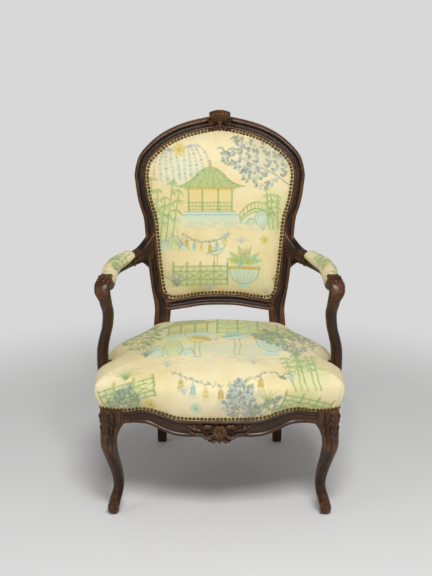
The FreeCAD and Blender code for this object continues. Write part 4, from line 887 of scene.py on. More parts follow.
# %% The tree that sets nails along a path
def nail_tree(material):
    tree = bpy.data.node_groups.new("brass_nail_row", "GeometryNodeTree")
    for title, way, kind, value in (("Path", "INPUT", "Geometry", None), ("Spacing", "INPUT", "Float", 0.0098),
                                    ("Head Radius", "INPUT", "Float", 0.0046), ("Seed", "INPUT", "Int", 3),
                                    ("Nails", "OUTPUT", "Geometry", None)):
        socket = tree.interface.new_socket(title, in_out=way, socket_type="NodeSocket" + kind)
        if value is not None:
            socket.default_value = value
    at = Nodes(tree)
    start = at.new("NodeGroupInput")
    curve = at.new("GeometryNodeMeshToCurve", {"Mesh": start["Path"]})[0]
    spread = at.new("GeometryNodeResampleCurve", mode="LENGTH")
    resample = tree.nodes[-1]
    at.feed(resample, {"Curve": curve, "Length": start["Spacing"]})
    facing = at.new("GeometryNodeInputNamedAttribute", {"Name": "facing"}, data_type="FLOAT_VECTOR")["Attribute"]
    turn = at.new("FunctionNodeAlignRotationToVector", {"Vector": facing}, axis="Z")["Rotation"]
    wobble = at.new("FunctionNodeRandomValue", {0: (-0.14, -0.14, 0), 1: (0.14, 0.14, 6.28), "Seed": start["Seed"]},
                    data_type="FLOAT_VECTOR")[0]
    tilt = at.new("FunctionNodeRotateRotation", {"Rotation": turn, "Rotate By": wobble}, rotation_space="LOCAL")[0]
    dome = at.new("GeometryNodeMeshUVSphere", {"Segments": 9, "Rings": 6, "Radius": start["Head Radius"]})["Mesh"]
    head = at.new("GeometryNodeTransform", {"Geometry": dome, "Scale": (1, 1, 0.52)})[0]
    size = at.new("FunctionNodeRandomValue", {2: 0.93, 3: 1.05, "Seed": start["Seed"]})[1]
    nails = at.new("GeometryNodeInstanceOnPoints", {"Points": spread["Curve"], "Instance": head, "Rotation": tilt,
                                                    "Scale": size})[0]
    nails = at.new("GeometryNodeRealizeInstances", {"Geometry": nails})[0]
    nails = at.new("GeometryNodeSetShadeSmooth", {"Geometry": nails})[0]
    nails = at.new("GeometryNodeSetMaterial", {"Geometry": nails, "Material": material})[0]
    at.new("NodeGroupOutput", {"Nails": nails})
    return tree


def keep_on_points(mesh, name, kind, values):
    """Writes an attribute of a mesh's points."""
    field = {"FLOAT": "value", "FLOAT_VECTOR": "vector", "FLOAT_COLOR": "color"}[kind]
    mesh.attributes.new(name, kind, "POINT").data.foreach_set(field, np.asarray(values, np.float32).ravel())


def nail_row(name, path, facing, closed=False, seed=1):
    """A plain mesh of nails along a path in millimetres, each facing its own way."""
    mesh = bpy.data.meshes.new(name + "_path")
    count = len(path)
    edges = [(i, i + 1) for i in range(count - 1)] + ([(count - 1, 0)] if closed else [])
    mesh.from_pydata(in_frame(path).tolist(), edges, [])
    keep_on_points(mesh, "facing", "FLOAT_VECTOR", facing)
    carrier = put(name + "_path", mesh)
    modifier = carrier.modifiers.new("nails", "NODES")
    modifier.node_group = brass_nails
    for item in brass_nails.interface.items_tree:
        if item.in_out == "INPUT" and item.name == "Seed":
            modifier[item.identifier] = seed
    shaped = carrier.evaluated_get(bpy.context.evaluated_depsgraph_get())
    nails = bpy.data.meshes.new_from_object(shaped)
    bpy.data.objects.remove(carrier)
    return settle(put(name, nails))


# %% Nails round the back, front and rear
brass_nails = nail_tree(bpy.data.materials.new("aged_brass"))
for name, inset, behind, sign, seed in (("back_nails", 5.5, 3.2, 1, 2), ("rear_nails", 12, STILE_THICK + 1.4, -1, 5)):
    x, z = closed_line(panel_outline(inset), 400, 3).T
    slope_x = (back_face(x + 1, z) - back_face(x - 1, z)) / 2
    slope_z = (back_face(x, z + 1) - back_face(x, z - 1)) / 2
    facing = unit(np.stack([slope_x, -np.ones_like(x), slope_z], 1) * sign)
    nail_row(name, np.stack([x, back_face(x, z) + behind, z], 1), facing, True, seed)

# %% Nails along the seat's front, sides and rear
lift = np.column_stack([plan_out, np.zeros(SEAT_COLUMNS)])
seat_nails = rows[1] + lift * 0.3 + (0, 0, 3.0)
facing = lift + (0, 0, -0.12)
stand = (np.abs(plan[:, 1] - SUPPORT_BACK) < 27) & (plan_wide > 200)
behind = (plan[:, 1] > SEAT_DEPTH - 24) & (plan_wide > BACK_HALF - 45)
keep = ~(stand | behind)
runs = np.split(np.arange(SEAT_COLUMNS), np.nonzero(np.diff(keep.astype(int)))[0] + 1)
runs = [run for run in runs if keep[run[0]]]
if keep[0] and keep[-1] and len(runs) > 1:
    runs = [np.concatenate([runs[-1], runs[0]])] + runs[1:-1]
for k, run in enumerate(runs):
    nail_row("seat_nails_%d" % (k + 1), seat_nails[run], facing[run], False, 11 + k)

# %% [markdown]
# ## Under the seat
# Seen from below, jute webbing is laced over and under between the rails and carries a
# hessian. Each strip is a thin band that rises over one crossing strip and dips under the
# next. It is modelled as a strip that waves, because that is what lacing does to it.

# %% Laced webbing and hessian
WEB, WEB_THICK = 46, 1.3


def millimetres(node):
    return [to_maker(corner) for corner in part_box(node)]


def laced(at, crossings, over):
    """Height along a strip that goes over one crossing strip and under the next."""
    waves = sum(np.exp(-((at - c) / 24) ** 2) * (-1) ** k for k, c in enumerate(crossings))
    return long_low[2] + 0.9 + 0.85 * over * waves


def web_strip(name, x, y, z, across, cad_node):
    """A flat thin band through points."""
    rings = []
    for point in np.stack(np.broadcast_arrays(x, y, z), 1):
        low = [point + across * WEB * s for s in np.linspace(-0.5, 0.5, 9)]
        rings.append(low + [q + (0, 0, WEB_THICK) for q in low[::-1]])
    web_pieces.append(skin(name, [rings], "webbing", cad_node))


long_low, long_high = millimetres("seat_webbing_long")
cross_low, cross_high = millimetres("seat_webbing_cross")
long_at = np.linspace(long_low[0] + WEB / 2, long_high[0] - WEB / 2, 5)
cross_at = np.linspace(cross_low[1] + WEB / 2, cross_high[1] - WEB / 2, 4)
inner = long_low[1] - front_face(WEB / 2)
tacked = side_face(cross_at[0]) - cross_high[0]
web_pieces = []
for k, x in enumerate(long_at):
    start, end = front_face(abs(x) + WEB / 2) + inner, long_high[1]
    y = np.linspace(start, end, 61)
    web_strip("web_long_%d" % (k + 1), x, y, laced(y, cross_at, (-1) ** k), np.array((1.0, 0, 0)), "seat_webbing_long")
for j, y in enumerate(cross_at):
    half = cross_high[0] if j == 0 else min(side_face(y - WEB / 2), side_face(y + WEB / 2)) - tacked
    x = np.linspace(-half, half, 81)
    web_strip("web_cross_%d" % (j + 1), x, y, laced(x, long_at, -(-1) ** j), np.array((0, 1.0, 0)),
              "seat_webbing_cross")
print("webbing: %d strips" % len(web_pieces))

# %% Hessian over the webbing
rim = (plan - plan_out * np.where(np.abs(plan[:, 1] - SUPPORT_BACK) < 34, 27, 16)[:, None])[::8]
rim[:, 1] = np.where(np.abs(rim[:, 0]) > BACK_HALF - 56, np.minimum(rim[:, 1], SEAT_DEPTH - 40), rim[:, 1])
hub = np.array((0.0, SEAT_MID))
layers = []
shares = np.r_[0.01, np.linspace(0.06, 1, 34)]
for above, order in ((4.6, shares), (3.7, shares[::-1])):
    for share in order:
        ring = mix(hub, rim, share)
        dip = 0.5 * np.sin(ring[:, 0] / 14) * np.sin(ring[:, 1] / 14)
        layers.append(np.column_stack([ring, long_low[2] + above + dip - 0.3]))
hessian_cloth = skin("hessian_under_seat", [layers], "hessian", "seat_hessian")

# %% Nails where the supports stand on the seat and behind the arm pads
surface = BVHTree.FromObject(seat, bpy.context.evaluated_depsgraph_get())
ring_heights = support_rings[:, :, 2].mean(1)
path, out = [], []
for turn in np.radians(np.linspace(-125, 125, 61)):
    found = None
    for height in np.arange(306, 420, 1.5):
        ring = support_rings[np.argmin(np.abs(ring_heights - height))]
        middle, reach = ring.mean(0), np.ptp(ring, axis=0) / 2 + 4.5
        spot = (middle[0] - reach[0] * math.cos(turn), middle[1] + reach[1] * math.sin(turn), height)
        place, normal, _, away = surface.find_nearest(Vector(in_frame(spot)[0]))
        if away < 0.004:
            found = to_maker(place), np.array(normal)
    if found:
        path.append(found[0])
        out.append(found[1])
path, out = np.array(path) + np.array(out) * 0.4, np.array(out)
print("nails round a support: %d points, %.0f to %.0f mm high" % (len(path), path[:, 2].min(), path[:, 2].max()))
point, side, up, tall = arm_at(2.98)
side, up = np.array(side), np.array(up)
collar, away = [], []
for turn in np.linspace(0, 2 * math.pi, 33)[:-1]:
    c, s = math.cos(turn), math.sin(turn)
    if s > -0.55:
        collar.append(np.array(point) + side * 19.0 * c + up * (0.5 * tall + 5.5) * s)
        away.append(side * c + up * s)
start = next(k for k in range(len(collar)) if np.linalg.norm(collar[k] - collar[k - 1]) > 14)
collar, away = (np.roll(line, -start, axis=0) for line in (collar, away))
for k, (side, flip) in enumerate(SIDES):
    nail_row("stand_nails_" + side, path * (flip, 1, 1), out * (flip, 1, 1), False, 31 + k)
for side, flip in SIDES:
    nail_row("pad_nails_" + side, collar * (flip, 1, 1), away * (flip, 1, 1), False, 41)

# %% [markdown]
# ## Carving
# Carved leaves, petals and ribs all follow one idea: a blade that widens and narrows along a
# curved spine, domed across, with a vein cut down its middle and lobes along its edges. Many
# such blades, sunk a little into the moulding, build each carved motif. Modelling one blade
# well and bending it often is how a carver repeats gouge cuts too.

# %% One carved blade and one carved boss
def blade(spine, out, width, rise, lobes=0, sink=3.0, rows=19, tip=0.9):
    """Closed rings of a leaf-like form along a spine, standing out along a direction."""
    line = through(spine, rows)
    along = unit(np.gradient(line, axis=0))
    out = np.broadcast_to(np.asarray(out, float), line.shape)
    out = unit(out - along * (out * along).sum(1)[:, None])
    side = np.cross(along, out)
    share = np.linspace(0, 1, rows)
    full = np.sin(math.pi * np.clip(share * 0.94 + 0.03, 0, 1) ** tip) ** 0.62
    wide = 0.5 * width * full * (1 + (0.20 * np.sin(2 * math.pi * lobes * share - 0.8) if lobes else 0))
    tall = rise * full ** 0.8
    rings = []
    for k in range(rows):
        ring = []
        for u in np.linspace(-1, 1, 13):
            dome = (1 - u * u) ** 0.55
            vein = 0.42 * math.exp(-(u / 0.16) ** 2)
            rib = 0.16 * math.cos(2 * math.pi * (lobes * share[k] - 0.45 * abs(u))) * abs(u) ** 0.5 if lobes else 0
            ring.append(line[k] + side[k] * (u * wide[k]) + out[k] * tall[k] * (dome * (1 + rib) - vein))
        ring += [line[k] + side[k] * u * wide[k] - out[k] * min(sink, 0.6 * wide[k] + 0.4) for u in (0.75, 0, -0.75)]
        rings.append(ring)
    return np.array(rings)


BOSS_SIDES = 20


def boss(middle, out, radius, rise):
    """Closed rings of a small dome."""
    out = np.asarray(out, float) / np.linalg.norm(out)
    across = np.cross(out, (0, 0, 1.0)) if abs(out[2]) < 0.9 else np.cross(out, (1.0, 0, 0))
    across /= np.linalg.norm(across)
    other = np.cross(out, across)
    turn = np.linspace(0, 2 * math.pi, BOSS_SIDES, endpoint=False)[:, None]
    circle = np.cos(turn) * across + np.sin(turn) * other
    levels = [(-0.8, 1.0), (0, 1.0), (0.35, 0.93), (0.7, 0.72), (0.93, 0.38), (1.0, 0.08)]
    return np.array([np.asarray(middle) + out * rise * up + circle * radius * wide for up, wide in levels])


def scroll(middle, right, up, out, radius, turns, width, rise, start=0.0, hand=1):
    """A rolled leaf: a blade whose spine winds inwards, standing out more at its eye."""
    middle, right, up, out = (np.asarray(v, float) for v in (middle, right, up, out))
    points = []
    for share in np.linspace(0, 1, 15):
        angle = start + hand * share * turns * 2 * math.pi
        reach = radius * (1 - 0.78 * share ** 0.8)
        points.append(middle + right * math.cos(angle) * reach + up * math.sin(angle) * reach + out * 2.5 * share)
    return blade(points, out, width, rise, rows=33, tip=0.7)


def carve(name, solids):
    return skin(name, solids, crease=50)


# %% Shell and leaves on the crest
def on_back(a, b, d):
    """Point at a across, b up, d in front of the back's hollow face."""
    return np.array((a, float(back_face(a, b)) - d, b))


BACK_OUT = (0, -1, 0.23)
crest_cuts = []
body = [on_back(0, z, d) for z, d in ((905, 2), (918, 6), (932, 9), (944, 9), (953.6, 7))]
crest_cuts.append(blade(body, BACK_OUT, 57, 5, sink=17, tip=3.0))
for shift, lean, top, wide in ((0, 0, 953.6, 16), (-11.5, -0.14, 952.4, 15), (11.5, 0.14, 953.0, 15),
                               (-21, -0.30, 947, 13), (21, 0.30, 948.5, 13)):
    spine = [on_back(shift * 0.35 + lean * (z - 914) * 0.9 + shift * 0.5 * (z - 914) / 40, z, d)
             for z, d in ((914, 4), (926, 9), (938, 13), (top - 5, 13), (top, 7))]
    crest_cuts.append(blade(spine, BACK_OUT, wide, 4.6, sink=10, tip=2.4))
rear = [on_back(0, z, d) for z, d in ((908, -16), (922, -15), (936, -13), (947, -10), (953, -6))]
crest_cuts.append(blade(rear, (0, 1, -0.23), 60, 5, sink=22, tip=2.6))
crest_cuts.append(boss(on_back(0, 922, 9), BACK_OUT, 6.5, 5))
for hand in (-1, 1):
    crest_cuts.append(scroll(on_back(hand * 25, 931, 6), (1, 0, 0), (0, 0.2, 1), BACK_OUT, 8, 1.1, 7.5, 5,
                             math.radians(90 - hand * 60), -hand))
    for run, wide in ((((14, 921, 3), (26, 918, 4.5), (36, 916, 3), (43, 911, 1)), 10),
                      (((5, 916, 3), (13, 909, 5), (23, 906, 3.5), (31, 904, 1)), 9)):
        crest_cuts.append(blade([on_back(hand * x, z, d) for x, z, d in run], BACK_OUT, wide, 3.4, lobes=3, sink=4))
crest_cuts.append(blade([on_back(0, 921, 4), on_back(0, 911, 6.5), on_back(0, 902, 1)], BACK_OUT, 12, 4, lobes=2))
carve("crest_carving", crest_cuts)


# %% Flower and sprays on the apron
def on_apron(a, b, d):
    return np.array((a, front_face(a) + 2 - d, b))


apron_cuts = []
FLOWER_Z = 249
for k in range(7):
    turn = 2 * math.pi * (k + 0.5) / 7
    spine = [on_apron(math.sin(turn) * r, FLOWER_Z - 1 + math.cos(turn) * r * 1.02, d)
             for r, d in ((3, 3.5), (9, 7), (14.5, 6.5), (19, 2.5))]
    apron_cuts.append(blade(spine, (0, -1, 0), 14.5, 4.2, sink=6, tip=1.4))
apron_cuts.append(boss(on_apron(0, FLOWER_Z - 1, 4.5), (0, -1, 0), 6.2, 5))
for hand in (-1, 1):
    for points, wide, rise, lobes in (
            (((12, 256, 3), (26, 264, 7), (37, 262, 6), (41, 253, 2)), 12, 4.5, 4),
            (((12, 242, 3), (27, 236, 7), (39, 238, 6), (46, 246, 2)), 12, 4.5, 4),
            (((34, 250, 1.5), (50, 254, 4), (66, 259, 3), (80, 266, 1)), 7, 2.8, 4),
            (((38, 244, 1.5), (54, 243, 3.6), (68, 246, 3), (76, 252, 1)), 6, 2.6, 3),
            (((56, 256, 1), (60, 263, 3), (68, 268, 1)), 5, 2.2, 2),
            (((4, 232, 3), (12, 225, 5), (24, 225, 3), (30, 229, 1)), 8, 3.5, 3)):
        apron_cuts.append(blade([on_apron(hand * a, b, d) for a, b, d in points], (0, -1, 0), wide, rise, lobes=lobes))
    apron_cuts.append(scroll(on_apron(hand * 31, 250, 3), (1, 0, 0), (0, 0, 1), (0, -1, 0), 7.5, 1.0, 5.5, 4.5,
                             math.radians(90), -hand))
apron_cuts.append(blade([on_apron(0, 234, 3), on_apron(0, 226, 5.5), on_apron(0, 219.5, 2)], (0, -1, 0), 11, 4))
carve("apron_carving", apron_cuts)

# %% Cartouches at the knees and leaves on the feet
def on_leg(x, z, d=0.0):
    """Point on the front of the right leg at x and z, d in front of it."""
    ring = leg_skin[np.argmin(np.abs(leg_skin[:, :, 2].mean(1) - z))]
    front = ring[ring[:, 1] < ring[:, 1].mean()]
    front = front[np.argsort(front[:, 0])]
    return np.array((x, np.interp(x, front[:, 0], front[:, 1]) - d, z))


KNEE_OUT = (0.35, -1, 0.1)
knee_cuts = [blade([on_leg(*spot) for spot in spine], KNEE_OUT, wide, rise, lobes, rows=rows)
             for spine, wide, rise, lobes, rows in (
                 (((283, 296, -2), (286, 280, 0), (287, 258, 0.5), (284, 236, 0), (279, 214, -2)), 15, 3.6, 5, 31),
                 (((281, 292, -1), (272, 284, 1.5), (268, 270, 1), (272, 256, -1)), 8, 3, 3, 19),
                 (((290, 292, -1), (297, 283, 0), (298, 268, 0), (296, 252, -2)), 8, 3, 3, 19),
                 (((280, 262, 0), (272, 252, 1.5), (270, 240, 1), (273, 226, -1)), 7, 3, 3, 19),
                 (((290, 262, 0), (296, 250, 0), (295, 238, 0), (291, 226, -2)), 7, 3, 3, 19))]
knee_cuts.append(boss(on_leg(285, 290, -1), KNEE_OUT, 5, 4))
foot_cuts = [blade([on_leg(*spot) for spot in spine], (lean, -1, 0.2), wide, rise, lobes)
             for spine, lean, wide, rise, lobes in (
                 (((271, 6, 0), (272, 20, 1.5), (269, 38, 1), (264, 58, -1)), 0, 17, 3, 4),
                 (((280, 8, -2), (282, 20, 0), (277, 36, -1)), 0.5, 9, 2.6, 2),
                 (((262, 8, -2), (261, 20, 0), (260, 36, -1)), -0.5, 9, 2.6, 2))]
for side, flip in SIDES:
    carve("knee_carving_" + side, [cut * (flip, 1, 1) for cut in knee_cuts])
    carve("foot_carving_" + side, [cut * (flip, 1, 1) for cut in foot_cuts])

# %% Leaves over the front of the arms
def on_arm(at, across, above):
    """Point over the arm at a station, across it and above its top."""
    point, side, up, tall = arm_at(at)
    return np.array(point + side * across + up * (0.5 * tall + above)), np.array(up)


arm_cuts = []
for across, wide, reach in ((0, 17, 0.0), (-10, 12, 0.12), (10, 12, 0.12)):
    stations = [(9.85, -0.5), (9.45, 2.0), (9.1, 4.5), (8.75, 8.5), (8.45 + reach, 12), (8.2 + reach, 13.5)]
    points, ups = zip(*[on_arm(at, across * (1.2 - 0.05 * k), above) for k, (at, above) in enumerate(stations)])
    arm_cuts.append(blade(points, ups[2], wide, 3.6, lobes=3, rows=27, sink=8))
for side, flip in SIDES:
    carve("arm_carving_" + side, [cut * (flip, 1, 1) for cut in arm_cuts])

# %% [markdown]
# ## The printed pattern
# The cover is a printed cotton in green, grey, aqua and ochre on cream. Such prints are ink
# lines and pale washes, so the pattern here is drawn the same way, with strokes and washed
# patches in flat cloth coordinates. What they leave on each point of the fine cloth mesh is
# kept as a colour attribute, which the cloth's material reads. The motifs are common garden
# ones: leafy boughs, grasses, bamboo, blossoms, birds, a railing, a tea house and a swag.

# %% Inks, strokes and washes
def ink(red, green, blue):
    """A colour written as on a screen, from 0 to 255, turned to linear light."""
    shares = np.array((red, green, blue)) / 255
    return np.where(shares <= 0.04045, shares / 12.92, ((shares + 0.055) / 1.055) ** 2.4)


GREEN, LEAF, PALE_GREEN = ink(108, 150, 84), ink(140, 176, 104), ink(182, 205, 138)
SLATE, MIST = ink(112, 134, 132), ink(164, 180, 176)
AQUA, PALE_AQUA = ink(134, 190, 184), ink(178, 214, 200)
OCHRE, STRAW = ink(186, 162, 60), ink(216, 196, 106)
ROSE = ink(214, 176, 146)


def lay_cloth(places):
    """An unprinted cloth whose points lie at these places, in millimetres."""
    return {"at": np.asarray(places, float), "ink": np.zeros((len(places), 3)), "cover": np.zeros(len(places))}


def press(cloth, where, colour, amount):
    """Adds ink over what is printed already."""
    cloth["ink"][where] = colour * amount[:, None] + cloth["ink"][where] * (1 - amount)[:, None]
    cloth["cover"][where] = amount + cloth["cover"][where] * (1 - amount)


def close_to(cloth, line, edge):
    """Which points of a cloth lie in the box around a line."""
    at = cloth["at"]
    return np.nonzero(((at > line.min(0) - edge) & (at < line.max(0) + edge)).all(1))[0]


def measure(spot, a, b):
    """How far along from a to b each spot is, as a share, and how far away from that line."""
    run = b - a
    t = np.clip(((spot - a) @ run) / max(run @ run, 1e-9), 0, 1)
    return t, np.linalg.norm(spot - a - t[:, None] * run, axis=1)


def stroke(cloth, line, width, colour, strength=0.85, taper=False):
    """A pen line through points; with taper it thins out towards its end."""
    line = np.asarray(line, float)
    where = close_to(cloth, line, width + 1.5)
    amount = np.zeros(len(where))
    for k, (a, b) in enumerate(zip(line[:-1], line[1:])):
        t, away = measure(cloth["at"][where], a, b)
        half = 0.5 * width * (1 - 0.75 * (k + t) / (len(line) - 1)) if taper else 0.5 * width
        amount = np.maximum(amount, np.clip((half + 0.9 - away) / 1.5, 0, 1))
    press(cloth, where, colour, amount * strength)


def wash(cloth, outline, colour, strength=0.6, soft=2.0):
    """A patch of thinned ink inside an outline, denser along its edge as it dries."""
    outline = np.asarray(outline, float)
    where = close_to(cloth, outline, soft)
    spot = cloth["at"][where]
    inside = np.zeros(len(where), bool)
    away = np.full(len(where), 1e9)
    for a, b in zip(outline, np.roll(outline, -1, axis=0)):
        away = np.minimum(away, measure(spot, a, b)[1])
        crosses = (a[1] > spot[:, 1]) != (b[1] > spot[:, 1])
        x = a[0] + (spot[:, 1] - a[1]) * (b[0] - a[0]) / (b[1] - a[1] if b[1] != a[1] else 1e-9)
        inside ^= crosses & (spot[:, 0] < x)
    depth = np.where(inside, away, -away)
    amount = np.clip(depth / soft + 0.5, 0, 1) * (1 + 0.35 * np.exp(-np.clip(depth, 0, None) / 2.0))
    press(cloth, where, colour, np.clip(amount * strength, 0, 1))


# %% How a motif is placed
class Place:
    """Draws in a motif's own coordinates: moved, turned and stretched onto a cloth."""

    def __init__(self, cloth, x, y, scale=1.0, turn=0.0, stretch=1.0, flip=1, seed=1):
        self.cloth, self.origin, self.flip, self.stretch = cloth, np.array((x, y), float), flip, stretch
        c, s = math.cos(math.radians(turn)), math.sin(math.radians(turn))
        self.turn, self.scale, self.dice = np.array(((c, -s), (s, c))), scale, np.random.default_rng(seed)

    def points(self, points):
        points = np.asarray(points, float) * (self.flip, 1) * self.scale
        return (points @ self.turn.T) * (1, self.stretch) + self.origin

    def line(self, points, width, colour, strength=0.85, taper=False, smooth=0):
        if smooth:
            points = through(points, smooth)
        stroke(self.cloth, self.points(points), width * 1.35, colour, strength, taper)

    def patch(self, points, colour, strength=0.6, soft=2.0, smooth=True):
        points = np.asarray(points, float)
        if smooth:
            points = rounded(points, 2)
        wash(self.cloth, self.points(points), colour, strength, soft)

    def plate(self, low, high, colour, strength, soft=1.2):
        """A patch between two opposite corners."""
        (a, b), (c, d) = low, high
        self.patch([(a, b), (c, b), (c, d), (a, d)], colour, strength, soft, smooth=False)


# %% Leaves and boughs
def leaf(place, at, angle, length, colour, strength=0.8, fat=0.32):
    """A small leaf: a pointed patch that starts at a point."""
    along = np.array((math.cos(angle), math.sin(angle))) * length
    side = np.array((-along[1], along[0])) * fat
    at = np.asarray(at, float)
    place.patch([at, at + along * 0.35 + side, at + along * 0.75 + side * 0.6, at + along,
                 at + along * 0.75 - side * 0.6, at + along * 0.35 - side], colour, strength, 1.2, smooth=False)


def bough(place, length, colour, second, twigs=9, leaves=9, size=8):
    """A bowed branch with twigs on both sides, each full of small leaves."""
    dice = place.dice
    spine = through([(0, 0), (length * 0.35, length * 0.06), (length * 0.7, length * 0.2), (length, length * 0.22)], 24)
    place.line(spine, 2.6, colour, 0.8, taper=True)
    for k in range(twigs):
        base = spine[int(3 + k * 20 / twigs)]
        side = 1 if k % 2 else -1
        heading = side * (0.95 - 0.35 * k / twigs) + 0.2
        reach = length * (0.42 - 0.22 * k / twigs) * dice.uniform(0.8, 1.15)
        tip = base + reach * np.array((math.cos(heading), math.sin(heading)))
        bend = base + 0.55 * reach * np.array((math.cos(heading + 0.25 * side), math.sin(heading + 0.25 * side)))
        twig = through([base, bend, tip], 10)
        place.line(twig, 1.4, colour, 0.75, taper=True)
        for j in range(leaves):
            at = twig[min(1 + int(j * 9 / leaves), 9)]
            turn = heading + (0.8 if j % 2 else -0.8) + dice.uniform(-0.3, 0.3)
            leaf(place, at, turn, size * dice.uniform(0.75, 1.25), colour if dice.random() < 0.7 else second, 0.72)
        leaf(place, tip, heading, size, colour, 0.75)


def drooping(place, strands, length, colour, second):
    """Hanging strands with slim leaves, as on a willow."""
    dice = place.dice
    for k in range(strands):
        lean = (k - (strands - 1) / 2) / strands
        reach = length * dice.uniform(0.7, 1.0) * (1 - 0.5 * abs(lean))
        strand = through([(lean * 10, 0), (lean * length * 1.0, length * 0.06), (lean * length * 1.5, -reach * 0.45),
                          (lean * length * 1.55, -reach)], 16)
        place.line(strand, 1.6, colour, 0.7, taper=True)
        for j in range(3, 15):
            for side in (-1, 1):
                leaf(place, strand[j], -1.57 + side * dice.uniform(0.3, 0.7), 9 * dice.uniform(0.7, 1.1),
                     colour if j % 3 else second, 0.62, 0.2)


def tuft(place, blades, length, colour):
    dice = place.dice
    for k in range(blades):
        angle = mix(0.35, math.pi - 0.35, (k + dice.uniform(0.2, 0.8)) / blades)
        reach = length * dice.uniform(0.6, 1)
        tip = reach * np.array((math.cos(angle), math.sin(angle)))
        place.line([(0, 0), tip * 0.55 + (0, reach * 0.1), tip], 1.9, colour, 0.75, taper=True, smooth=7)


def blossom(place, petals, radius, colour, centre):
    for k in range(petals):
        turn = 2 * math.pi * k / petals + 0.3
        leaf(place, (0, 0), turn, radius, colour, 0.7, 0.36)
        tip = radius * np.array((math.cos(turn), math.sin(turn)))
        place.line([tip * 0.25, tip * 0.8], 1.0, GREEN, 0.35)
    ring = [(radius * 0.28 * math.cos(a), radius * 0.28 * math.sin(a)) for a in np.linspace(0, 2 * math.pi, 10)]
    place.patch(ring[:-1], centre, 0.85, 1.5)


def bamboo(place, canes, height, colour, second):
    dice = place.dice
    for k in range(canes):
        x = (k - canes / 2) * 13 + dice.uniform(-3, 3)
        tall = height * dice.uniform(0.75, 1.05)
        lean = dice.uniform(-0.08, 0.08) * tall
        joints = np.linspace(0, 1, 7)
        for a, b in zip(joints[:-1], joints[1:]):
            place.line([(x + lean * a, tall * a + 1), (x + lean * b, tall * b - 1)], 2.8, colour, 0.7)
        for j in range(3, 7):
            at = (x + lean * joints[j], tall * joints[j])
            for turn in (-0.5, -0.95, 3.6, 4.05):
                if dice.random() < 0.85:
                    leaf(place, at, turn + dice.uniform(-0.2, 0.2), 20 * dice.uniform(0.7, 1.1), second, 0.65, 0.13)


# %% Railing, tea house, footbridge, bowl, birds, swag and ground
def railing(place, panels, wide, high, colour, second):
    """A garden railing: posts with knobs and a lattice between them."""
    for k in range(panels + 1):
        x = k * wide
        place.line([(x, 0), (x, high * 1.08)], 3.4, colour, 0.85)
        place.patch([(x - 4, high * 1.1), (x, high * 1.1 + 8), (x + 4, high * 1.1)], second, 0.8, 1.2, smooth=False)
        if k == panels:
            continue
        place.plate((x, 0), (x + wide, high), PALE_GREEN, 0.35, 1.5)
        for y in (0.04, 0.3, 0.72, 0.97):
            place.line([(x, high * y), (x + wide, high * y)], 2.2, colour, 0.8)
        for x0, y0, x1, y1, thick in ((0, 0.3, 1, 0.72, 1.8), (0, 0.72, 1, 0.3, 1.8), (0.5, 0.04, 0.5, 0.3, 1.6),
                                      (0.5, 0.72, 0.5, 0.97, 1.6)):
            place.line([(x + wide * x0, high * y0), (x + wide * x1, high * y1)], thick, colour, 0.75)


def tea_house(place, wide, high):
    """A low open tea house with a swept roof on four posts, on a stepped base."""
    size = np.array((wide / 2, high))

    def at(*points):
        return np.array(points) * size

    slope = [(0.8, 0.70), (0.35, 0.92)]
    ridge = flipped(slope[::-1]) + [(0, 0.98)] + slope[::-1]
    place.patch(at((-1.25, 0.60), *ridge, (1.25, 0.60), (0.9, 0.58), (-0.9, 0.58)), LEAF, 0.75, 2)
    place.line(at((-1.28, 0.615), *ridge, (1.28, 0.615)), 2.0, GREEN, 0.9, smooth=30)
    for x in (-0.66, -0.36, -0.12, 0.12, 0.36, 0.66):
        place.line(at((x * 0.35, 0.93), (x * 1.3, 0.6)), 1.3, GREEN, 0.6)
    place.plate(*at((-0.95, 0.55), (0.95, 0.60)), OCHRE, 0.8)
    place.patch([(-5, high * 0.97), (0, high * 1.14), (5, high * 0.97)], OCHRE, 0.85, 1.2, smooth=False)
    place.plate(*at((-0.8, 0.16), (0.8, 0.55)), STRAW, 0.45, 2)
    for x in (-0.82, -0.3, 0.3, 0.82):
        place.line(at((x, 0.14), (x, 0.56)), 2.8, GREEN, 0.85)
    for y in (0.16, 0.23, 0.30):
        place.line(at((-0.82, y), (0.82, y)), 1.5, GREEN, 0.8)
    for k in range(-6, 7):
        place.line(at((0.13 * k, 0.16), (0.13 * k, 0.30)), 1.2, GREEN, 0.65)
    for step, grow in ((0.10, 0.95), (0.04, 1.08)):
        low, top = at((-grow, step), (grow, step))
        place.plate(low - (0, 4), top + (0, 3), PALE_AQUA, 0.7)
        place.line([low + (0, 3), top + (0, 3)], 1.5, SLATE, 0.7)


def footbridge(place, wide, high):
    arc = [(x * wide, high * (1 - (2 * x - 1) ** 2)) for x in np.linspace(0, 1, 20)]
    under = [(x, y - 9) for x, y in arc]
    place.patch(arc + under[::-1], PALE_GREEN, 0.7, 1.5, smooth=False)
    place.line(arc, 2.2, GREEN, 0.85)
    place.line(under, 1.8, GREEN, 0.7)
    place.line([(x, y + 17) for x, y in arc], 2.0, GREEN, 0.85)
    for x, y in arc[::2]:
        place.line([(x, y), (x, y + 18)], 1.6, GREEN, 0.8)


def water(place, wide, rows, colour):
    dice = place.dice
    for k in range(rows):
        y = -k * 6.0
        x = dice.uniform(-0.5, -0.2) * wide
        while x < 0.5 * wide:
            run = dice.uniform(14, 40)
            place.line([(x, y), (x + run * 0.5, y + 1.6), (x + run, y)], 1.5, colour, 0.6, smooth=6)
            x += run + dice.uniform(8, 30)


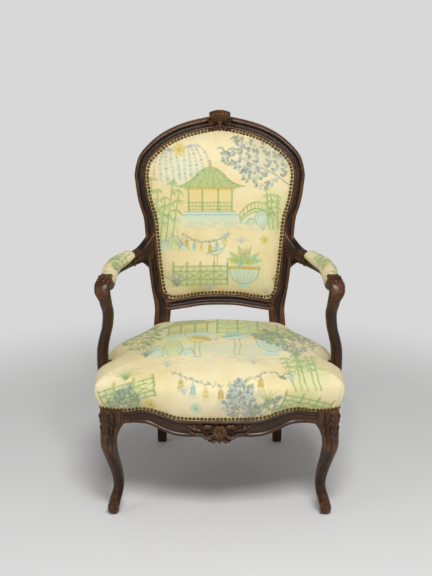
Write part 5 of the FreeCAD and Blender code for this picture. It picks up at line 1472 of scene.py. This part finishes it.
def rocks(place, colour, second):
    for shape, tone in (([(-34, 0), (-30, 18), (-14, 26), (2, 14), (6, 0)], colour),
                        ([(-4, 0), (0, 30), (16, 38), (30, 20), (36, 0)], second),
                        ([(26, 0), (32, 12), (46, 14), (54, 0)], colour)):
        place.patch(shape, tone, 0.6, 2.2)
        place.line(shape, 1.7, SLATE, 0.65, smooth=14)
        place.line([(p[0] * 0.6 + shape[2][0] * 0.4, p[1] * 0.6 + 4) for p in shape[1:4]], 1.2, SLATE, 0.5, smooth=8)


def standing_bird(place, tone, wing):
    """A wading bird: bowed neck, oval body, long legs."""
    body = [(-24, 40), (-10, 54), (12, 56), (26, 46), (14, 36), (-8, 33)]
    neck = [(20, 50), (33, 60), (27, 76), (33, 88), (38, 90)]
    place.patch(body, tone, 0.75, 2)
    place.patch([(-30, 36), (-12, 42), (10, 44), (22, 50), (2, 56), (-14, 50)], wing, 0.7, 2)
    place.line(neck, 4.2, tone, 0.8, taper=True, smooth=18)
    place.line([(36, 90), (50, 87)], 2.2, OCHRE, 0.9, taper=True)
    place.line(neck, 1.2, SLATE, 0.7, smooth=18)
    for x in (-2, 8):
        place.line([(x, 36), (x + 2, 18), (x - 1, 0), (x + 8, -2)], 1.8, OCHRE, 0.85)
    for k in range(5):
        place.line([(-26 + 4 * k, 37 + k), (-8 + 5 * k, 47)], 1.3, SLATE, 0.6)
    place.line(body + body[:1], 1.2, SLATE, 0.6, smooth=24)


def flying_bird(place, tone):
    place.line([(-16, 8), (-7, 9), (0, 0), (9, 8), (20, 6)], 2.8, tone, 0.8, smooth=16)
    place.patch([(-4, 1), (0, 4), (8, 1), (12, -4), (0, -4)], tone, 0.8, 1.5)


def bowl(place, tone, trim):
    """A footed garden bowl full of flowers."""
    side = [(-30, 40), (-26, 22), (-10, 10)]
    place.patch(side + flipped(side), tone, 0.75, 2)
    place.patch([(-8, 10), (-14, 0), (14, 0), (8, 10)], tone, 0.8, 1.5, smooth=False)
    place.plate((-33, 38), (33, 44), trim, 0.85)
    place.line(side + flipped(side), 1.6, SLATE, 0.7, smooth=24)
    for k in range(5):
        place.line([(-18 + 9 * k, 34), (-12 + 6 * k, 14)], 1.3, trim, 0.6)
    for x, y, radius, colour in ((-20, 58, 12, STRAW), (0, 68, 15, ROSE), (20, 58, 12, PALE_AQUA), (-6, 50, 9, AQUA),
                                 (9, 51, 9, STRAW)):
        spot = place.points([(x, y)])[0]
        blossom(Place(place.cloth, *spot, place.scale, stretch=place.stretch), 7, radius, colour, OCHRE)
    for angle in (0.2, 0.6, 2.5, 2.9, 1.2, 1.9):
        leaf(place, (0, 50), angle, 40, LEAF, 0.6, 0.14)


def swag(place, wide, sag, drops):
    """A leafy cord hung in a bow, with tassels."""
    line = [(x * wide, -sag * (1 - (2 * x - 1) ** 2)) for x in np.linspace(0, 1, 40)]
    place.line(line, 1.6, SLATE, 0.7)
    for k in range(1, 39):
        leaf(place, line[k], place.dice.uniform(0, 6.28), 6, SLATE if k % 3 else LEAF, 0.6, 0.3)
    for k in range(drops):
        x, y = line[int(4 + k * 32 / (drops - 1))]
        tone = (OCHRE, AQUA, STRAW)[k % 3]
        place.line([(x, y), (x, y - 8)], 1.3, SLATE, 0.8)
        place.patch([(x - 3, y - 8), (x + 3, y - 8), (x + 5, y - 22), (x - 5, y - 22)], tone, 0.85, 1.3, smooth=False)
        place.line([(x - 3.5, y - 12), (x + 3.5, y - 12)], 1.5, GREEN, 0.7)
        for step in (-3, 0, 3):
            place.line([(x + step, y - 21), (x + step * 1.4, y - 28)], 1.1, tone, 0.9)


# %% The back's print
def haze(cloth, x, y, wide, high, colour, strength=0.3):
    """A pale uneven wash under a motif."""
    turn = np.linspace(0, 2 * math.pi, 22, endpoint=False)
    wave = 1 + 0.14 * np.sin(3 * turn + x) + 0.08 * np.sin(5 * turn + y)
    wash(cloth, np.stack([x + wide * wave * np.cos(turn), y + high * wave * np.sin(turn)], 1), colour, strength, 24)


B = lay_cloth(back_print)
haze(B, 122, 822, 66, 44, MIST, 0.34)
bough(Place(B, 190, 758, 1.0, 136, seed=3), 178, SLATE, MIST, 12, 11, 13)
haze(B, -112, 800, 54, 42, PALE_AQUA, 0.34)
drooping(Place(B, -112, 850, 1.0, 8, seed=6), 10, 110, MIST, SLATE)
blossom(Place(B, -112, 850, 1, seed=2), 8, 20, STRAW, OCHRE)
haze(B, -10, 664, 140, 13, PALE_AQUA, 0.55)
tea_house(Place(B, -26, 668), 146, 138)
footbridge(Place(B, 56, 664), 96, 30)
haze(B, 150, 690, 34, 60, PALE_GREEN, 0.4)
bamboo(Place(B, 156, 640, 0.9, 3, seed=18), 3, 130, GREEN, LEAF)
rocks(Place(B, 128, 652, 1.0, flip=-1), PALE_GREEN, PALE_AQUA)
water(Place(B, 10, 654, seed=7), 300, 4, AQUA)
flying_bird(Place(B, 16, 842, 1.4), SLATE)
flying_bird(Place(B, 50, 872, 1.0, flip=-1), GREEN)
haze(B, -150, 640, 34, 60, PALE_GREEN, 0.45)
bamboo(Place(B, -158, 590, 1.1, -4, seed=8), 5, 160, GREEN, LEAF)
tuft(Place(B, -112, 590, 1.2, seed=9), 11, 44, SLATE)
rocks(Place(B, -138, 582, 1.0), PALE_AQUA, PALE_GREEN)
haze(B, 66, 520, 62, 46, PALE_GREEN, 0.4)
bowl(Place(B, 68, 478, 1.35), PALE_AQUA, OCHRE)
railing(Place(B, -128, 484, 1.1), 4, 34, 50, GREEN, OCHRE)
haze(B, -70, 500, 80, 30, LEAF, 0.3)
tuft(Place(B, -118, 484, 1.3, seed=12), 13, 52, SLATE)
standing_bird(Place(B, -14, 540, 0.85), PALE_AQUA, STRAW)
bough(Place(B, 168, 548, 0.9, 118, flip=-1, seed=15), 110, GREEN, LEAF, 9, 9, 13)
blossom(Place(B, 124, 610, 1, seed=2), 7, 15, STRAW, OCHRE)
swag(Place(B, -104, 628, 1.05, seed=16), 124, 24, 6)
for x, y, s in ((16, 612, 1.2), (60, 600, 1.0), (-30, 470, 1.2), (130, 462, 1.2), (120, 636, 0.9)):
    tuft(Place(B, x, y, s, seed=int(abs(x) + y)), 8, 26, MIST)
print("back print covers %.0f%% of the cloth" % (100 * B["cover"].mean()))

# %% The seat's print
S = lay_cloth(seat_flat)
DEEP = 1.9   # the drawing is long from front to back, as it is seen from a standing eye
haze(S, 30, 250, 150, 90, PALE_GREEN, 0.5)
haze(S, -110, 170, 80, 100, PALE_GREEN, 0.35)
railing(Place(S, -6, 196, 1.35, 0, DEEP), 4, 40, 52, GREEN, OCHRE)
tea_house(Place(S, -84, 176, 1.3, 0, DEEP), 96, 84)
haze(S, 30, 90, 130, 40, PALE_AQUA, 0.4)
standing_bird(Place(S, 40, 62, 1.35, 0, DEEP), PALE_AQUA, AQUA)
standing_bird(Place(S, -52, 50, 1.25, 0, DEEP, flip=-1), STRAW, OCHRE)
bowl(Place(S, 134, 62, 1.35, 0, DEEP), PALE_AQUA, OCHRE)
rocks(Place(S, -138, 56, 1.4, 0, DEEP), PALE_AQUA, PALE_GREEN)
tuft(Place(S, -186, 60, 1.3, 0, DEEP, seed=21), 15, 50, SLATE)
tuft(Place(S, 194, 64, 1.3, 0, DEEP, seed=22), 15, 48, SLATE)
bough(Place(S, 262, 130, 1.1, 146, 1.5, seed=23), 140, SLATE, GREEN, 10, 9, 14)
bough(Place(S, -256, 130, 1.1, 40, 1.6, seed=24), 130, GREEN, LEAF, 10, 9, 14)
haze(S, 222, 0, 46, 60, PALE_GREEN, 0.4)
bamboo(Place(S, 224, -60, 1.15, 8, 1.1, seed=25), 5, 130, GREEN, LEAF)
water(Place(S, 0, 46, 1.1, 0, 1.5, seed=26), 440, 4, MIST)
swag(Place(S, -120, -14, 1.6, seed=27), 150, 28, 7)
haze(S, 60, -110, 60, 40, MIST, 0.3)
bough(Place(S, 40, -170, 1.1, 66, seed=28), 100, SLATE, MIST, 10, 10, 13)
bough(Place(S, 70, -170, 1.0, 24, seed=29), 110, SLATE, GREEN, 9, 9, 12)
tuft(Place(S, 118, -100, 1.2, seed=30), 11, 36, GREEN)
haze(S, 210, -100, 60, 44, PALE_GREEN, 0.4)
railing(Place(S, 156, -128, 1.15, -6), 3, 38, 46, GREEN, OCHRE)
haze(S, -236, -90, 64, 50, LEAF, 0.28)
railing(Place(S, -296, -104, 1.25, 10), 3, 38, 40, GREEN, OCHRE)
bough(Place(S, -290, -150, 1.0, 34, seed=31), 110, SLATE, GREEN, 10, 10, 13)
tuft(Place(S, -232, -30, 1.3, seed=32), 13, 40, GREEN)
blossom(Place(S, -176, -104, 1, seed=3), 8, 18, STRAW, OCHRE)
blossom(Place(S, -60, -120, 1, seed=3), 8, 17, PALE_AQUA, OCHRE)
flying_bird(Place(S, 150, -30, 1.5), SLATE)
for hand, seed in ((-1, 40), (1, 44)):
    bough(Place(S, hand * 372, 60, 1.0, 90 - hand * 20, seed=seed), 140, SLATE, MIST, 10, 9, 12)
    bough(Place(S, hand * 300, 300, 1.0, 90 + hand * 70, seed=seed + 1), 120, GREEN, LEAF, 9, 9, 12)
    haze(S, hand * 330, 150, 40, 100, PALE_GREEN, 0.3)
for x, y, s in ((-86, -80, 1.1), (176, -40, 1.1), (-130, 6, 1.2), (86, 16, 1.2), (-10, 140, 1.2), (0, 350, 1),
                (120, 330, 1.2)):
    tuft(Place(S, x, y, s, 0, 1.4, seed=int(abs(x) + abs(y)) + 3), 8, 28, MIST)
print("seat print covers %.0f%% of the cloth" % (100 * S["cover"].mean()))

# %% The arm pads' print, and all of it put on the meshes
def print_on(piece, cloth, soiled):
    """Writes the print, the flat place and the soiling to the piece's points."""
    places = np.column_stack([cloth["at"] / 1000, np.zeros(len(cloth["at"]))])
    keep_on_points(piece.data, "print", "FLOAT_COLOR", np.column_stack([cloth["ink"], cloth["cover"]]))
    keep_on_points(piece.data, "lay", "FLOAT_VECTOR", places)
    keep_on_points(piece.data, "soil", "FLOAT", soiled)


back_soil = np.r_[np.exp(-(np.repeat(back_shares, BACK_COLUMNS) * 200) / 16), 0]
back_soil[:-1] *= np.clip(0.75 + (640 - back_print[:-1, 1]) / 400, 0.6, 1.0)
print_on(back_cloth, B, back_soil)
print_on(seat, S, np.exp(-seat_down / 0.16) * 0.95)
pad_ends = np.repeat(np.linspace(-1, 1, PAD_RINGS), len(pad_print) // PAD_RINGS)
for side, seed, bough_x, flower_x in (("left", 51, -20, 6), ("right", 55, 16, -8)):
    A = lay_cloth(pad_print)
    haze(A, 0, 60, 26, 70, PALE_GREEN, 0.4)
    bough(Place(A, bough_x, 20, 0.9, 84, seed=seed), 130, GREEN, LEAF, 9, 8, 14)
    tuft(Place(A, 4, 176, 1, seed=seed + 1), 9, 30, SLATE)
    blossom(Place(A, flower_x, 120, 1, seed=2), 7, 12, STRAW, OCHRE)
    print_on(pads[side], A, np.clip(0.35 * np.abs(pad_ends) ** 6, 0, 1))
rear_print = np.array([(v.co.x, v.co.z) for v in rear_cloth.data.vertices]) * 1000
print_on(rear_cloth, lay_cloth(rear_print), np.zeros(len(rear_print)))
print("prints written to %d cloths" % (3 + len(pads)))

# %% [markdown]
# ## Finishes
# Old waxed wood is redder and lighter on the ridges that hands and cloths rub. Its hollows are
# darker in colour, partly for the polish and dust that stay there and partly as painted shade for
# the shadow in coves and carving. How far each point stands proud of its neighbours is
# measured once on the mesh and kept as an attribute, which the wood's material reads. Grain,
# the rubbing with the painted hollow shade, and weave are shader groups, so that each finish
# sets its own scale.

# %% How proud each point stands
def read_all(items, field, width, kind=float):
    """One field of all points or edges of a mesh, as rows of an array."""
    values = np.empty(len(items) * width, kind)
    items.foreach_get(field, values)
    return values.reshape(-1, width)


FULL_RIDGE = 0.00009   # metres proud of its neighbours that make a full ridge
EASE_TIMES = 2


def mark_relief(piece):
    """Writes -1 in hollows to 1 on ridges to the attribute "relief"."""
    mesh = piece.data
    place = read_all(mesh.vertices, "co", 3)
    normal = read_all(mesh.vertex_normals, "vector", 3)
    a, b = read_all(mesh.edges, "vertices", 2, int).T
    degree = np.maximum(np.bincount(np.r_[a, b], minlength=len(place)), 1)

    def neighbours_mean(values):
        total = np.zeros_like(values)
        np.add.at(total, a, values[b])
        np.add.at(total, b, values[a])
        return total / degree.reshape(-1, *([1] * (values.ndim - 1)))

    relief = np.clip(((place - neighbours_mean(place)) * normal).sum(1) / FULL_RIDGE, -1, 1)
    for _ in range(EASE_TIMES):
        relief = 0.5 * relief + 0.5 * neighbours_mean(relief)
    keep_on_points(mesh, "relief", "FLOAT", relief)


for piece in wood_pieces:
    mark_relief(piece)
print("relief measured on %d pieces" % len(wood_pieces))


# %% Small helpers for shader trees
def shader_group(name, **inputs):
    """An empty shader group with a vector and named numbers: what adds nodes to it, and its inputs."""
    group = bpy.data.node_groups.new(name, "ShaderNodeTree")
    group.interface.new_socket("Vector", in_out="INPUT", socket_type="NodeSocketVector")
    for title, value in inputs.items():
        group.interface.new_socket(title, in_out="INPUT", socket_type="NodeSocketFloat").default_value = value
    at = Nodes(group)
    return at, at.new("NodeGroupInput")


def give_back(at, **results):
    """Ends a shader group with its named results."""
    for title in results:
        at.tree.interface.new_socket(title, in_out="OUTPUT", socket_type="NodeSocketFloat")
    at.new("NodeGroupOutput", results)
    return at.tree


def noise(at, vector, scale, detail=3.0, rough=0.6, distort=0.0):
    return at.new("ShaderNodeTexNoise", {"Vector": vector, "Scale": scale, "Detail": detail, "Roughness": rough,
                                         "Distortion": distort})["Fac"]


def tint(at, share, first, second):
    return at.new("ShaderNodeMix", {0: share, 6: first, 7: second}, data_type="RGBA")[2]


def attribute(at, name, output):
    return at.new("ShaderNodeAttribute", attribute_name=name)[output]


def bump(at, height, strength, distance):
    return at.new("ShaderNodeBump", {"Height": height, "Strength": strength, "Distance": distance})["Normal"]


def use_group(at, group, vector, **values):
    return at.new("ShaderNodeGroup", {"Vector": vector, **values}, node_tree=group)


def along_grain(at, where, turn, scale):
    """Wood's figure and pores, turned so that the grain runs along the piece."""
    turned = at.new("ShaderNodeMapping", {"Vector": where, "Rotation": turn})["Vector"]
    return use_group(at, grain, turned, Scale=scale)


# %% Grain, wear with painted hollow shade, and weave as shader groups
at, given = shader_group("wood_grain", Scale=1.0)
long_way = at.new("ShaderNodeMapping", {"Vector": given["Vector"], "Scale": (1.0, 1.0, 0.07)})["Vector"]
pores = noise(at, long_way, at.times(given["Scale"], 900), 2, 0.5)
grain = give_back(at, Figure=noise(at, long_way, at.times(given["Scale"], 55), 5, 0.6, 0.6),
                  Pores=at.remap(pores, 0.36, 0.52))

# The Hollow result darkens the hollows: partly polish and dust, partly painted shade for the shadow in coves and
# carving.
at, given = shader_group("rubbed_and_dusty", Relief=0.0, Wear=1.0)
patch = at.remap(noise(at, given["Vector"], 22, 4), 0.32, 0.68, 0.15, 1.0)
ridge = at.times(at.times(at.remap(given["Relief"], 0.10, 0.75), patch), given["Wear"])
wear_shade_group = give_back(at, Ridge=ridge, Hollow=at.remap(given["Relief"], -0.08, -0.7))

at, given = shader_group("plain_weave", Threads=1.0)
warp, weft = (at.new("ShaderNodeTexWave", {"Vector": given["Vector"], "Scale": at.times(given["Threads"], 240),
                                           "Distortion": 0.6, "Detail": 1.0, "Detail Scale": 0.6},
                     bands_direction=direction)["Fac"] for direction in ("X", "Y"))
weave = give_back(at, Height=at.maths("ADD", warp, weft),
                  Slub=noise(at, given["Vector"], at.times(given["Threads"], 170), 2))
print("groups:", [g.name for g in bpy.data.node_groups if g.type == "SHADER"])


# %% Waxed dark wood
def waxed_wood(name, turn):
    """Dark waxed wood whose grain runs along one axis of the chair."""
    made, at, shader, where = start_material(name)
    figure = along_grain(at, where, turn, 1.0)
    worn_and_shaded = use_group(at, wear_shade_group, where, Relief=attribute(at, "relief", "Fac"), Wear=1.0)
    base = tint(at, at.remap(figure["Figure"], 0.3, 0.72), ink(32, 18, 6), ink(62, 37, 14))
    cloudy = at.remap(noise(at, where, 9), 0.35, 0.7, 0.0, 0.35)
    # the last tint darkens the hollows: polish and dust, and painted shade for the shadow in coves and carving
    for share, colour in ((at.times(figure["Pores"], 0.25), ink(24, 15, 10)), (cloudy, ink(78, 45, 27)),
                          (at.times(worn_and_shaded["Ridge"], 0.6), ink(120, 78, 38)),
                          (at.times(worn_and_shaded["Hollow"], 0.85), ink(15, 10, 7))):
        base = tint(at, share, base, colour)
    polish = at.remap(noise(at, where, 60), 0.3, 0.7, 0.24, 0.42)
    dents = at.maths("ADD", noise(at, where, 38, 4), at.times(figure["Pores"], -0.12))
    at.feed(shader, {"Base Color": base, "Roughness": at.maths("ADD", polish, at.times(worn_and_shaded["Hollow"], 0.22)),
                     "Specular IOR Level": 0.27, "Coat Weight": 0.14, "Coat Roughness": 0.2,
                     "Normal": bump(at, dents, 0.35, 0.0012)})
    return made


def dress(piece, finish):
    piece.data.materials.clear()
    piece.data.materials.append(finish)


QUARTER = math.pi / 2
upright_wood = waxed_wood("waxed_wood_upright", (0, 0, 0))
across_wood = waxed_wood("waxed_wood_across", (0, QUARTER, 0))
along_wood = waxed_wood("waxed_wood_along", (QUARTER, 0, 0))
for piece in wood_pieces:
    finish = upright_wood
    if any(word in piece.name for word in ("crest", "front_rail", "lower", "apron")):
        finish = across_wood
    if any(word in piece.name for word in ("side_rail", "arm_moulded", "arm_carving")):
        finish = along_wood
    dress(piece, finish)
print("wood:", [wood.name for wood in (upright_wood, across_wood, along_wood)])


# %% Printed cotton
def cotton(name, ground, shade):
    """Cotton with its print, its weave, soiling near the nails and an uneven ground."""
    made, at, shader, where = start_material(name)
    lay = attribute(at, "lay", "Vector")
    threads = use_group(at, weave, lay, Threads=1.0)
    printed = attribute(at, "print", "Alpha")
    faded = at.remap(noise(at, lay, 140), 0.30, 0.62, 0.55, 1.0)
    # the ink was kept thinned by its cover, so it is divided by that again
    cover = at.maths("MAXIMUM", printed, 0.001)
    thin = at.new("ShaderNodeCombineXYZ", {0: cover, 1: cover, 2: cover})[0]
    ink_colour = at.new("ShaderNodeVectorMath", {0: attribute(at, "print", "Color"), 1: thin}, operation="DIVIDE")[0]
    soil = at.times(attribute(at, "soil", "Fac"), at.remap(noise(at, where, 30, 4), 0.3, 0.7, 0.35, 1.0))
    base = tint(at, at.remap(noise(at, where, 7, 4), 0.35, 0.68), ground, shade)
    for share, colour in ((at.times(threads["Slub"], 0.10), ink(205, 178, 120)),
                          (at.times(printed, faded), ink_colour), (soil, ink(146, 116, 62))):
        base = tint(at, share, base, colour)
    height = at.maths("ADD", at.times(threads["Height"], 0.35), threads["Slub"])
    at.feed(shader, {"Base Color": base, "Roughness": 0.82, "Sheen Weight": 0.15, "Sheen Roughness": 0.4,
                     "Normal": bump(at, height, 0.25, 0.0004)})
    return made


printed_cotton = cotton("printed_cotton", ink(235, 223, 182), ink(222, 205, 150))
for piece in (seat, back_cloth, *pads.values()):
    dress(piece, printed_cotton)
dress(rear_cloth, cotton("plain_cotton", ink(222, 210, 170), ink(208, 192, 144)))
print("cotton on", seat.name, back_cloth.name, rear_cloth.name)

# %% Aged brass of the nails
made, at, shader, where = start_material("aged_brass")
tarnish = at.remap(noise(at, where, 120), 0.35, 0.7)
at.feed(shader, {"Base Color": tint(at, tarnish, ink(126, 98, 52), ink(58, 44, 26)),
                 "Roughness": at.remap(tarnish, 0, 1, 0.32, 0.55), "Metallic": at.remap(tarnish, 0, 1, 1.0, 0.7)})
print("brass:", made.name)


# %% Raw wood, iron, webbing and hessian under the seat
def rough_stuff(name, light, dark, turn, roughness, height):
    made, at, shader, where = start_material(name)
    figure = along_grain(at, where, turn, 1.4)
    base = tint(at, at.remap(figure["Figure"], 0.3, 0.7), light, dark)
    at.feed(shader, {"Base Color": tint(at, at.times(figure["Pores"], 0.3), base, dark * 0.5),
                     "Roughness": at.remap(figure["Figure"], 0.3, 0.7, roughness, roughness + 0.12),
                     "Normal": bump(at, figure["Figure"], 0.5, height)})
    return made


def woven_stuff(name, light, dark, threads):
    made, at, shader, where = start_material(name)
    cloth = use_group(at, weave, where, Threads=threads)
    base = tint(at, at.remap(cloth["Height"], 0.4, 1.4), dark, light)
    at.feed(shader, {"Base Color": tint(at, at.times(cloth["Slub"], 0.5), base, dark), "Roughness": 0.9,
                     "Normal": bump(at, cloth["Height"], 0.6, 0.0008)})
    return made


raw_wood = rough_stuff("raw_beech", ink(150, 112, 74), ink(104, 72, 45), (0, QUARTER, 0), 0.6, 0.0006)
iron = rough_stuff("blackened_iron", ink(70, 66, 62), ink(38, 35, 33), (0, 0, 0), 0.5, 0.0003)
webbing = woven_stuff("jute_webbing", ink(172, 142, 98), ink(112, 86, 54), 0.5)
dress(hessian_cloth, woven_stuff("hessian", ink(186, 160, 116), ink(128, 104, 70), 0.35))
for piece in web_pieces:
    dress(piece, webbing)
finishes = {"back_seat_rail": raw_wood, "joint_pegs": upright_wood, "frame_screws": iron}
finishes.update({name: raw_wood for name in nodes if name.startswith("corner_block")})
for name, finish in finishes.items():
    dress(nodes[name], finish)
print("finishes set on %d plain nodes" % len(finishes))
